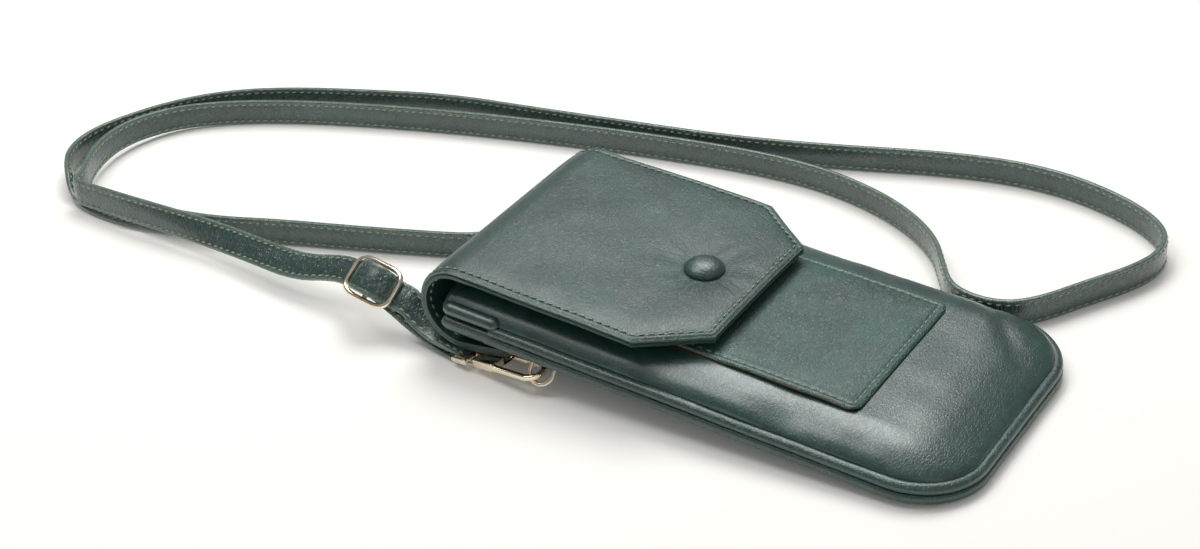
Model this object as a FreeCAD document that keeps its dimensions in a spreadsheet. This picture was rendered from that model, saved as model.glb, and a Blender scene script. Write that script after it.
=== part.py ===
import FreeCAD, Part, Sketcher
import math
import os
import re
from FreeCAD import Placement, Rotation, Vector

# Leather phone pouch lying on its back, with a flap, a snap, two side rings and a long adjustable strap.
# The pouch is drawn flat in its own plane: X runs along it, with 0 at the bottom end and the mouth at
# minus body_length, Y runs across it and Z is the height above its back. lay_down then puts it on the
# ground, where the hooks under its mouth end tip it up by lie_angle.

SIZES = [
    # pouch body
    ("body_length", 185.0), ("body_width", 100.0), ("corner_radius", 24.0), ("mouth_radius", 2.0),
    ("back_leather", 1.6), ("front_leather", 1.4), ("lining_leather", 0.6), ("piping_size", 5.2),
    ("piping_round", 2.3), ("front_height", 13.2), ("shoulder_radius", 8.0), ("slit_length", 18.0),
    ("slit_gap", 0.6), ("lip_height", 2.2), ("lip_margin", 0.5), ("back_lip", 3.2), ("lining_margin", 0.2),
    ("mouth_past", 1.0),
    ("rest_setback", 63.0), ("rest_step", 0.2),
    # card pocket on the front
    ("pocket_margin", 16.75), ("pocket_top", 57.2), ("pocket_setback", 41.8), ("pocket_height", 1.6),
    ("pocket_corner", 3.0), ("card_gap", 0.8), ("card_margin", 4.75), ("pocket_seam", 4.0),
    # flap and its fold round the mouth end
    ("flap_margin", 4.0), ("flap_gap", 3.7), ("flap_leather", 1.5), ("flap_lining", 1.3),
    ("flap_length", 88.9), ("flap_cut", 21.1), ("tip_cut", 16.25), ("flap_corner", 3.0),
    ("fold_radius", 15.0), ("fold_setback", 2.5), ("sewn_setback", 37.0), ("sewn_length", 20.0),
    ("tail_margin", 14.0), ("tail_cut", 15.0), ("tail_lap", 0.3),
    # snap
    ("snap_inset", 21.2), ("cap_size", 13.8), ("cap_height", 3.6), ("cap_edge", 1.2),
    ("rivet_size", 3.2), ("socket_size", 11.2), ("socket_height", 2.5), ("socket_roof", 0.6),
    ("stud_size", 4.4), ("stud_flange", 10.0), ("stud_flange_height", 0.8), ("snap_play", 0.7),
    # ring tabs and rings
    ("tab_inset", 37.5), ("tab_margin", 4.0), ("tab_width", 6.4), ("tab_length", 11.0),
    ("tab_leather", 0.7), ("bar_wire", 1.6), ("ring_wire", 1.5), ("ring_width", 7.1), ("ring_leg", 2.8),
    ("ring_lean", 40.0), ("ring_play", 0.1), ("near_drop", 3.6), ("far_drop", 3.85),
    # snap hooks
    ("bow_radius", 5.25), ("bow_wire", 1.9), ("hook_arm", 13.0), ("hook_stub", 5.0),
    ("block_length", 9.0), ("block_height", 3.0), ("gate_wire", 1.8), ("gate_play", 0.2),
    ("gate_pivot", 2.0), ("gate_pin", 1.0), ("gate_fork", 2.2), ("gate_pocket", 4.2), ("post_size", 1.4),
    ("post_head", 2.0), ("post_head_length", 1.4), ("post_play", 0.2), ("post_inset", 2.0),
    ("eye_gap", 2.4), ("eye_length", 6.6), ("eye_wire", 2.0), ("eye_side", 1.2), ("eye_room", 0.4),
    ("near_turn", -7.7), ("near_pitch", -6.9), ("far_turn", -12.0), ("far_pitch", 0.6),
    # strap and slider
    ("strap_width", 10.2), ("strap_leather", 2.4), ("strap_lift", 0.2), ("skived_leather", 1.0),
    ("loop_play", 0.1), ("strap_room", 2.2), ("slider_length", 22.4), ("slider_wire", 1.5),
    ("slider_height", 1.9),
    ("slider_corner", 5.0), ("slider_bar", 2.0), ("bar_drop", 0.4), ("hump_length", 28.0),
    ("hump_foot", 7.5), ("hump_top", 2.8), ("hump_dip", 1.6), ("tail_doubling", 13.0),
    # how it lies
    ("lie_angle", 4.3), ("slider_reach", 73.7), ("slider_inset", 5.6), ("slider_z", 16.8),
    ("slider_heading", -8.0), ("slider_climb", -4.0), ("slider_roll", 37.0),
]
# Sizes that follow from the others.
TIED = [
    ("rest_length", "body_length - rest_setback"),
    ("pocket_width", "body_width - 2 * pocket_margin"),
    ("pocket_length", "body_length - pocket_setback - pocket_top"),
    ("card_width", "pocket_width - 2 * card_margin"),
    ("flap_width", "body_width - 2 * flap_margin"),
    ("flap_height", "front_height + pocket_height + flap_gap + flap_lining + flap_leather"),
    ("flap_tip", "flap_width - 2 * tip_cut"),
    ("sewn_start", "body_length - sewn_setback"),
    ("tail_width", "flap_width - 2 * tail_margin"),
    ("snap_setback", "body_length - fold_setback - flap_length + snap_inset"),
    ("tab_setback", "body_length - tab_inset"),
    ("tab_reach", "body_width / 2 - tab_margin"),
]

# Route of the strap on edge, centre line in the ground plane: from behind the left fold along the top, round
# the right end and back along the outside to the left end.
LOOP_ROUTE = [
    (-290, 8), (-289, 20), (-282, 35), (-268, 48), (-246, 60), (-213, 72), (-172, 84), (-128, 94), (-90, 101),
    (-58, 105.5), (-30, 106), (-6, 101), (14, 92.5), (30, 80.5), (39.5, 66.5), (47, 55.5), (57.5, 51.5),
    (69, 52.8), (78, 61), (87, 76), (97, 91), (102, 104), (100.5, 116.5), (91, 126.5), (75, 134.5), (54, 140), (31, 140),
    (4, 134), (-30, 122.5), (-68, 112), (-110, 105), (-150, 98.5), (-188, 93), (-222, 81), (-250, 70),
    (-272, 57), (-288, 40), (-298, 20),
]
# The other stretches: X, Y and Z of the strap's middle, the roll of its width about its run, and its thickness
# as a share of the strap's leather.
# Left end: leaning over to lie flat where the near run crosses it, then on edge again towards the fold.
LEFT_ROUTE = [
    (-301.8, 5, 5.4, 86, 1), (-300.4, -4, 4.8, 48, 1), (-294, -11.5, 2.1, 6, 1), (-283, -18.2, 1.75, 2, 1),
    (-268, -23, 2.3, 9, 1), (-253, -26.2, 4.2, 36, 1), (-236, -27.8, 5.3, 75, 1),
    (-214, -25, 5.4, 90, 1), (-187, -14.5, 5.4, 90, 1), (-158, -5.5, 5.4, 90, 1), (-130, 4, 5.4, 90, 1),
]
# Far end, up behind the fold: X and Y from the far ring.
FAR_ROUTE = [
    (-67.9, -37, 5.4, 90, 1), (-58.9, -29, 5.6, 90, 1), (-54.4, -18, 5.9, 90, 1), (-52.9, -6, 6.2, 90, 1),
    (-52.2, 3, 6.5, 90, 1), (-49.7, 9.5, 6.7, 90, 1),
]
# Near run, away from the slider, down to the ground and round the left fold: X and Y from the near ring.
NEAR_ROUTE = [
    (-122.4, 10.6, 9.9, 140, 1), (-140.9, 12.8, 9.5, 130, 1), (-160.9, 14, 9.4, 118, 1),
    (-180.9, 14.2, 9.4, 106, 1), (-198.9, 14.2, 9.2, 97, 1), (-212.9, 15.5, 9.0, 92, 1),
    (-223.9, 19.1, 8.9, 90, 1), (-231.4, 24.5, 8.9, 90, 1), (-236.6, 31, 8.9, 90, 1),
    (-239.3, 38, 8.8, 90, 1), (-240.4, 43.5, 7.6, 90, 1), (-240.8, 48.5, 6.2, 90, 1),
]
# Doubled stretch between the slider and the near hook, also from the near ring: the lead on top and the return
# under it.
LEAD_ROUTE = [(-54.9, 4.7, 9.6, 25, 1), (-49.4, 4.4, 6.3, 13, 0.9167), (-41.9, 3.2, 4.7, 3, 0.6667)]
RETURN_ROUTE = [
    (-69.4, 6.4, 12.2, 36, 0.5833), (-62.7, 5.5, 8.2, 27, 0.9167), (-55.8, 5.6, 5.0, 15, 0.9167),
    (-47.9, 5, 2.9, 6, 0.75), (-40.9, 3.5, 1.6, 1, 0.5833),
]

doc = FreeCAD.newDocument("phone_pouch")
sheet = doc.addObject("Spreadsheet::Sheet", "Sizes")
for row, (alias, value) in enumerate(SIZES + [(alias, "=" + text) for alias, text in TIED], start=1):
    sheet.set(f"A{row}", alias)
    sheet.set(f"B{row}", str(value))
    sheet.setAlias(f"B{row}", alias)
    doc.recompute()
ALIASES = {alias for alias, _ in SIZES + TIED}
PARTS = {}


def size(text):
    """A number worked out from the sheet."""
    return float(sheet.evalExpression(text))


def bind(obj, prop, text):
    """Tie a property to an expression in the sheet's names."""
    named = re.sub(r"[a-z][a-z_]*", lambda word: prefixed(word.group()), text)
    obj.setExpression(prop, named)


def prefixed(word):
    return "Sizes." + word if word in ALIASES else word


def place(obj, at):
    """Tie an object's base point to three expressions."""
    for axis, text in zip("xyz", at):
        bind(obj, f"Placement.Base.{axis}", text)


def box(name, length, width, height, at):
    solid = doc.addObject("Part::Box", name)
    bind(solid, "Length", length)
    bind(solid, "Width", width)
    bind(solid, "Height", height)
    place(solid, at)
    return solid


ALONG = {"x": Rotation(Vector(0, 1, 0), 90), "y": Rotation(Vector(1, 0, 0), -90), "z": Rotation(),
         "wrap": Rotation(Vector(0, 0, 1), Vector(-1, 0, 0), Vector(0, -1, 0), "XYZ")}


def cylinder(name, radius, height, at, axis="z"):
    solid = doc.addObject("Part::Cylinder", name)
    bind(solid, "Radius", radius)
    bind(solid, "Height", height)
    solid.Placement = Placement(Vector(), ALONG[axis])
    place(solid, at)
    return solid


def cut(name, base, *tools):
    """The base with each tool taken away in turn."""
    for tool in tools:
        result = doc.addObject("Part::Cut", name)
        result.Base = base
        result.Tool = tool
        base = result
    return base


def fuse(name, *solids):
    result = doc.addObject("Part::MultiFuse", name)
    result.Shapes = list(solids)
    result.Refine = True
    return result


def common(name, *solids):
    result = doc.addObject("Part::MultiCommon", name)
    result.Shapes = list(solids)
    return result


def keep(label, obj, placement):
    """Name a finished sub-part and put it in its place, on top of any place that it has already."""
    doc.recompute()
    drawn = obj.Placement
    for axis in "xyz":
        obj.setExpression(f"Placement.Base.{axis}", None)
    obj.Placement = placement.multiply(drawn)
    obj.Label = label
    PARTS[label] = obj


def plate(name, corners, low, thickness, rounds=()):
    """A padded outline. rounds pairs a corner radius with the names of the corners that it rounds."""
    body = doc.addObject("PartDesign::Body", name)
    plane = next(f for f in body.Origin.OriginFeatures if f.Role == "XY_Plane")
    sketch = body.newObject("Sketcher::SketchObject", name + "_outline")
    sketch.AttachmentSupport = [(plane, "")]
    sketch.MapMode = "FlatFace"
    bind(sketch, "AttachmentOffset.Base.z", low)
    points = [Vector(size(x), size(y), 0) for x, y in corners.values()]
    count = len(points)
    for i in range(count):
        sketch.addGeometry(Part.LineSegment(points[i], points[(i + 1) % count]))
    for i in range(count):
        sketch.addConstraint(Sketcher.Constraint("Coincident", i, 2, (i + 1) % count, 1))
    for i, corner in enumerate(corners.values()):
        for kind, text in zip(("DistanceX", "DistanceY"), corner):
            index = sketch.addConstraint(Sketcher.Constraint(kind, -1, 1, i, 1, size(text)))
            bind(sketch, f"Constraints[{index}]", text)
    pad = body.newObject("PartDesign::Pad", name + "_pad")
    pad.Profile = sketch
    bind(pad, "Length", thickness)
    doc.recompute()
    feature = pad
    for radius, picked in rounds:
        spots = [point for name, point in zip(corners, points) if name in picked]
        edges = [e for e in upright_edges(feature.Shape) if any(near_axis(feature.Shape, e, p) for p in spots)]
        feature = rounded(body, feature, edges, radius)
    return body


SAME = 1e-6


def upright_edges(shape):
    names = []
    for i, edge in enumerate(shape.Edges, start=1):
        ends = [v.Point for v in edge.Vertexes]
        if len(ends) == 2 and math.hypot(ends[0].x - ends[1].x, ends[0].y - ends[1].y) < SAME:
            names.append(f"Edge{i}")
    return names


def near_axis(shape, edge_name, spot):
    point = shape.getElement(edge_name).Vertexes[0].Point
    return math.hypot(point.x - spot.x, point.y - spot.y) < SAME


def rounded(body, feature, edges, radius):
    fillet = body.newObject("PartDesign::Fillet", "round")
    fillet.Base = (feature, edges)
    bind(fillet, "Radius", radius)
    doc.recompute()
    return fillet


# Placements: the pouch's plane on the ground, with the box round the pouch centred on the origin.
lie = math.radians(size("lie_angle"))
axis_x = -size("body_length - fold_setback")
axis_z = size("flap_height - fold_radius")
left_end = axis_x * math.cos(lie) + axis_z * math.sin(lie) - size("fold_radius")
piping_middle = size("piping_size / 2")
right_end = piping_middle * (1 - math.cos(lie)) + size("back_leather + piping_size / 2") * math.sin(lie)
LIE = Placement(Vector(-(left_end + right_end) / 2, 0, 0), Rotation(Vector(0, 1, 0), size("lie_angle")))

# Back panel, thinned at the mouth end where the flap and the ring tabs are sewn on.
HALF = "body_width / 2"
MOUTH = ("near_mouth", "far_mouth")
BOTTOM = ("near_bottom", "far_bottom")
RIM = {"near_mouth": ("-body_length", f"-{HALF}"), "near_bottom": ("0", f"-{HALF}"),
       "far_bottom": ("0", HALF), "far_mouth": ("-body_length", HALF)}
RIM_ROUNDS = [("corner_radius", BOTTOM), ("mouth_radius", MOUTH)]
back_blank = plate("back_blank", RIM, "0", "back_leather", RIM_ROUNDS)
thinning = box("thinning", "body_length - rest_length", "body_width", "rest_step",
               ("-body_length", f"-{HALF}", "0"))
keep("back_panel", cut("back_cut", back_blank, thinning), LIE)


def inset_outline(inset, mouth_over):
    """The rim's outline drawn in by inset on three sides, and past the mouth by mouth_over."""
    side = f"(body_width / 2 - ({inset}))"
    mouth = f"-(body_length + {mouth_over})"
    bottom = f"-({inset})"
    return {"near_mouth": (mouth, f"-{side}"), "near_bottom": (bottom, f"-{side}"),
            "far_bottom": (bottom, side), "far_mouth": (mouth, side)}


# Piping: a rounded roll on the edge of the back panel, from one end of the mouth slit round to the other.
SEAM_END = "-(body_length - slit_length)"
roll_outer = plate("roll_outer", RIM, "back_leather", "piping_size", [("corner_radius", BOTTOM)])
roll_inner = plate("roll_inner", inset_outline("piping_size", "mouth_past"), "back_leather", "piping_size",
                   [("corner_radius - piping_size", BOTTOM)])
roll_end = box("roll_end", "slit_length", "body_width", "piping_size",
               ("-body_length", f"-{HALF}", "back_leather"))
roll = cut("roll", roll_outer, roll_inner, roll_end)
doc.recompute()
roll_top = size("back_leather + piping_size")
seam_end = size(SEAM_END)


def roll_edges(shape):
    """The long edges of the roll: top outer, top inner and bottom outer."""
    found = []
    half = size(HALF) - size("piping_size / 2")
    for i, edge in enumerate(shape.Edges, start=1):
        box_of = edge.BoundBox
        flat = box_of.ZLength < SAME
        across = box_of.XLength < SAME and abs(box_of.XMin - seam_end) < SAME
        at_top = abs(box_of.ZMin - roll_top) < SAME
        mid = edge.valueAt((edge.FirstParameter + edge.LastParameter) / 2)
        core_bottom = -size("piping_size / 2")
        core_radius = size("corner_radius - piping_size / 2")
        dx, dy = mid.x - (core_bottom - core_radius), abs(mid.y) - (half - core_radius)
        outside = (math.hypot(max(dx, 0), max(dy, 0)) > core_radius) if dx > 0 or dy > 0 else False
        if flat and not across and (at_top or outside):
            found.append((i, size("piping_round"), size("piping_round")))
    return found


piping = doc.addObject("Part::Fillet", "piping_roll")
piping.Base = roll
piping.Edges = roll_edges(roll.Shape)
EDGE_NEAR, EDGE_FAR = "-(body_width / 2 - lip_margin)", "body_width / 2 - piping_size"
back_lips = [box(f"back_lip_{side}", "slit_length", "piping_size - lip_margin", "back_lip",
                 ("-body_length", edge, "back_leather"))
             for side, edge in (("near", EDGE_NEAR), ("far", EDGE_FAR))]
keep("piping", fuse("piping_whole", piping, *back_lips), LIE)


def front_form(name, depth, mouth_over):
    """The domed tray of the front, drawn in by depth from its outer face."""
    inset = f"piping_size + {depth}"
    low = "back_leather"
    body = plate(name, inset_outline(inset, mouth_over), low, f"front_height - back_leather - ({depth})",
                 [(f"corner_radius - piping_size - ({depth})", BOTTOM)])
    top = size(f"front_height - ({depth})")
    mouth = -size(f"body_length + {mouth_over}")
    shape = body.Tip.Shape
    edges = []
    for i, edge in enumerate(shape.Edges, start=1):
        span = edge.BoundBox
        at_top = abs(span.ZMin - top) < SAME and span.ZLength < SAME
        at_mouth = abs(span.XMin - mouth) < SAME and span.XLength < SAME
        if at_top and not at_mouth:
            edges.append(f"Edge{i}")
    rounded(body, body.Tip, edges, f"shoulder_radius - ({depth})")
    return body


# Front panel and its lining: trays nested in each other, open at the mouth and over the back.
SLIT_TOP = "back_lip + slit_gap"
slit = box("slit", "slit_length", "body_width", SLIT_TOP, ("-body_length", f"-{HALF}", "back_leather"))
tray = cut("front_cut", front_form("front_outer", "0", "0"),
           front_form("front_inner", "front_leather", "mouth_past"), slit)
lips = [box(f"lip_{side}", "slit_length", "piping_size + front_leather - lip_margin", "lip_height",
            ("-body_length", edge, f"back_leather + {SLIT_TOP}"))
        for side, edge in (("near", EDGE_NEAR), ("far", f"{EDGE_FAR} - front_leather"))]
keep("front_panel", fuse("front_whole", tray, *lips), LIE)
lining_slit = box("lining_slit", "slit_length", "body_width", SLIT_TOP,
                  ("-body_length", f"-{HALF}", "back_leather"))
lining = cut("front_lining_cut", front_form("lining_outer", "front_leather", "0"),
             front_form("lining_inner", "front_leather + lining_leather", "mouth_past"), lining_slit)
keep("front_lining", lining, LIE)
LINED = "piping_size + front_leather + lining_leather + lining_margin"
back_lining = plate("back_lining_sheet", inset_outline(LINED, "0"), "back_leather", "lining_leather",
                    [(f"corner_radius - ({LINED})", BOTTOM)])
keep("back_lining", back_lining, LIE)

# Card pocket: a stitched patch on the front, open towards the mouth, with room for a card under it.
POCKET_TOP = "-(pocket_setback + pocket_length)"
POCKET_SIDE = "pocket_width / 2"
POCKET = {"near_mouth": (POCKET_TOP, f"-{POCKET_SIDE}"), "near_bottom": ("-pocket_setback", f"-{POCKET_SIDE}"),
          "far_bottom": ("-pocket_setback", POCKET_SIDE), "far_mouth": (POCKET_TOP, POCKET_SIDE)}
patch = plate("patch", POCKET, "front_height", "pocket_height", [("pocket_corner", MOUTH + BOTTOM)])
card_room = box("card_room", "pocket_length - pocket_seam", "card_width", "card_gap",
                (POCKET_TOP, "-card_width / 2", "front_height"))
stud_hole = cylinder("stud_hole", "rivet_size / 2", "pocket_height", ("-snap_setback", "0", "front_height"))
keep("card_pocket", cut("pocket_cut", patch, card_room, stud_hole), LIE)

# Flap: outer leather and lining, with the corners of its end cut off.
FOLD_X = "-(body_length - fold_setback)"
CUT_X = "-(body_length - fold_setback - flap_length + flap_cut)"
TIP_X = "-(body_length - fold_setback - flap_length)"
FLAP_SIDE, TIP_SIDE = "flap_width / 2", "flap_tip / 2"
FLAP = {"near_fold": (FOLD_X, f"-{FLAP_SIDE}"), "near_cut": (CUT_X, f"-{FLAP_SIDE}"),
        "near_tip": (TIP_X, f"-{TIP_SIDE}"), "far_tip": (TIP_X, TIP_SIDE),
        "far_cut": (CUT_X, FLAP_SIDE), "far_fold": (FOLD_X, FLAP_SIDE)}
FLAP_END = ("near_cut", "near_tip", "far_tip", "far_cut")
for label, low, leather in (("flap_outer", "flap_height - flap_leather", "flap_leather"),
                            ("flap_lining", "flap_height - flap_leather - flap_lining", "flap_lining")):
    sheet_body = plate(label + "_sheet", FLAP, low, leather, [("flap_corner", FLAP_END)])
    hole = cylinder(label + "_hole", "rivet_size / 2", leather, ("-snap_setback", "0", low))
    keep(label, cut(label + "_cut", sheet_body, hole), LIE)

# Fold: the same two layers round the mouth end, then up to the back, where their tail is sewn on.
rise = size("sewn_start - body_length + fold_setback")
drop = size("flap_height - fold_radius + flap_leather + flap_lining - rest_step")
slope = math.degrees(math.asin(size("fold_radius") / math.hypot(rise, drop)) - math.atan2(drop, -rise))
run = (-rise - size("fold_radius") * math.sin(math.radians(slope))) / math.cos(math.radians(slope))
TAIL_SIDE = "tail_width / 2"
TAIL_CUT = "-(sewn_start + tail_cut)"
TAIL_END = "-(sewn_start - sewn_length)"
PAST_FOLD = "-2 * body_length"
TAIL = {"near_fold": (PAST_FOLD, f"-{FLAP_SIDE}"), "near_cut": (TAIL_CUT, f"-{FLAP_SIDE}"),
        "near_start": ("-sewn_start", f"-{TAIL_SIDE}"), "near_end": (TAIL_END, f"-{TAIL_SIDE}"),
        "far_end": (TAIL_END, TAIL_SIDE), "far_start": ("-sewn_start", TAIL_SIDE),
        "far_cut": (TAIL_CUT, FLAP_SIDE), "far_fold": (PAST_FOLD, FLAP_SIDE)}
for label, depth, leather in (("fold_outer", "0", "flap_leather"), ("fold_lining", "flap_leather", "flap_lining")):
    shells = []
    for name, inner in (("_outer", f"({depth})"), ("_inner", f"({depth} + {leather})")):
        tube = cylinder(label + name, f"fold_radius - {inner}", "flap_width",
                        (FOLD_X, FLAP_SIDE, "flap_height - fold_radius"), "wrap")
        tube.Angle = 180 + slope
        shells.append(tube)
    bend = cut(label + "_bend", *shells)
    radius = size(f"fold_radius - ({depth})")
    lean = math.radians(slope)
    start = Vector(axis_x + radius * math.sin(lean), -size(FLAP_SIDE), axis_z - radius * math.cos(lean))
    ramp = doc.addObject("Part::Box", label + "_ramp")
    ramp.Length = run
    bind(ramp, "Width", "flap_width")
    bind(ramp, "Height", leather)
    ramp.Placement = Placement(start, Rotation(Vector(0, 1, 0), -slope))
    tail = box(label + "_tail", "sewn_length + tail_lap", "tail_width", leather,
               ("-(sewn_start + tail_lap)", f"-{TAIL_SIDE}",
                f"rest_step - flap_leather - flap_lining + ({depth})"))
    plan = plate(label + "_plan", TAIL, "-fold_radius", "3 * fold_radius")
    keep(label, common(label + "_trim", fuse(label + "_whole", bend, ramp, tail), plan), LIE)

# Snap: covered cap on the flap, socket and rivet under it, stud on the card pocket.
cap_disc = cylinder("cap_disc", "cap_size / 2", "cap_height", ("-snap_setback", "0", "flap_height"))
cap_dome = doc.addObject("Part::Sphere", "cap_dome")
DOME = "((cap_size / 2) ^ 2 + (cap_height - cap_edge) ^ 2) / (2 * (cap_height - cap_edge))"
bind(cap_dome, "Radius", DOME)
place(cap_dome, ("-snap_setback", "0", f"flap_height + cap_height - {DOME}"))
keep("snap_cap", common("cap_common", cap_disc, cap_dome), LIE)
UNDER_FLAP = "flap_height - flap_leather - flap_lining"
socket_disc = cylinder("socket_disc", "socket_size / 2", "socket_height",
                       ("-snap_setback", "0", f"{UNDER_FLAP} - socket_height"))
socket_rivet = cylinder("socket_rivet", "rivet_size / 2", "flap_leather + flap_lining",
                        ("-snap_setback", "0", UNDER_FLAP))
socket_bore = cylinder("socket_bore", "stud_size / 2 + snap_play", "socket_height - socket_roof",
                       ("-snap_setback", "0", f"{UNDER_FLAP} - socket_height"))
keep("snap_socket", cut("socket_cut", fuse("socket_whole", socket_disc, socket_rivet), socket_bore), LIE)
ON_POCKET = "front_height + pocket_height"
STUD_TOP = f"{UNDER_FLAP} - socket_roof - snap_play"
stud_flange = cylinder("stud_base", "stud_flange / 2", "stud_flange_height", ("-snap_setback", "0", ON_POCKET))
stud_pin = cylinder("stud_pin", "stud_size / 2", f"{STUD_TOP} - ({ON_POCKET})", ("-snap_setback", "0", ON_POCKET))
stud_rivet = cylinder("stud_rivet", "rivet_size / 2", "pocket_height - card_gap",
                      ("-snap_setback", "0", "front_height + card_gap"))
keep("snap_stud", fuse("stud_whole", stud_flange, stud_pin, stud_rivet), LIE)

# Ring tabs: a strip folded round each ring's bar and sewn to the back beside the flap's tail.
RING_BORE = "(bar_wire / 2 + ring_play)"
LOOP = f"({RING_BORE} + tab_leather)"
BAR_Z = f"rest_step - {LOOP}"
TAB_X = "-(tab_setback + tab_width / 2)"
SIDES = {"near": -1, "far": 1}
for side, sign in SIDES.items():
    eye = cylinder(f"tab_eye_{side}", LOOP, "tab_width", (TAB_X, f"{sign} * tab_reach", BAR_Z), "x")
    strip_y = "-tab_reach" if sign < 0 else "tab_reach - tab_length"
    strip = box(f"tab_strip_{side}", "tab_width", "tab_length", "2 * tab_leather",
                (TAB_X, strip_y, "rest_step - 2 * tab_leather"))
    bore = cylinder(f"tab_bore_{side}", RING_BORE, "tab_width", (TAB_X, f"{sign} * tab_reach", BAR_Z), "x")
    keep(f"ring_tab_{side}", cut(f"tab_cut_{side}", fuse(f"tab_whole_{side}", eye, strip), bore), LIE)

# D-rings: straight bar in the tab, and two legs and a half-round bow of slightly thinner wire, leaning outwards
# down to the ground.
WIRE = "ring_wire / 2"
MIDDLE = "(ring_width / 2 + ring_wire / 2)"
ring_places = {}
for side, sign in SIDES.items():
    bar = cylinder(f"ring_bar_{side}", "bar_wire / 2", "ring_width + 2 * bar_wire",
                   ("-(ring_width / 2 + bar_wire)", "0", "0"), "x")
    legs = [cylinder(f"ring_leg_{side}_{i}", WIRE, "ring_leg", (f"{end} * {MIDDLE}", "0", "-ring_leg"))
            for i, end in enumerate((-1, 1))]
    bow = doc.addObject("Part::Torus", f"ring_bow_{side}")
    bind(bow, "Radius1", MIDDLE)
    bind(bow, "Radius2", WIRE)
    bow.Angle3 = 180
    bow.Placement = Placement(Vector(), Rotation(Vector(1, 0, 0), -90))
    place(bow, ("0", "0", "-ring_leg"))
    hung = Placement(Vector(-size("tab_setback"), sign * size("tab_reach"), size(BAR_Z)),
                     Rotation(Vector(1, 0, 0), sign * size("ring_lean")))
    ring_places[side] = LIE.multiply(hung)
    keep(f"d_ring_{side}", fuse(f"ring_whole_{side}", bar, *legs, bow), ring_places[side])

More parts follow.
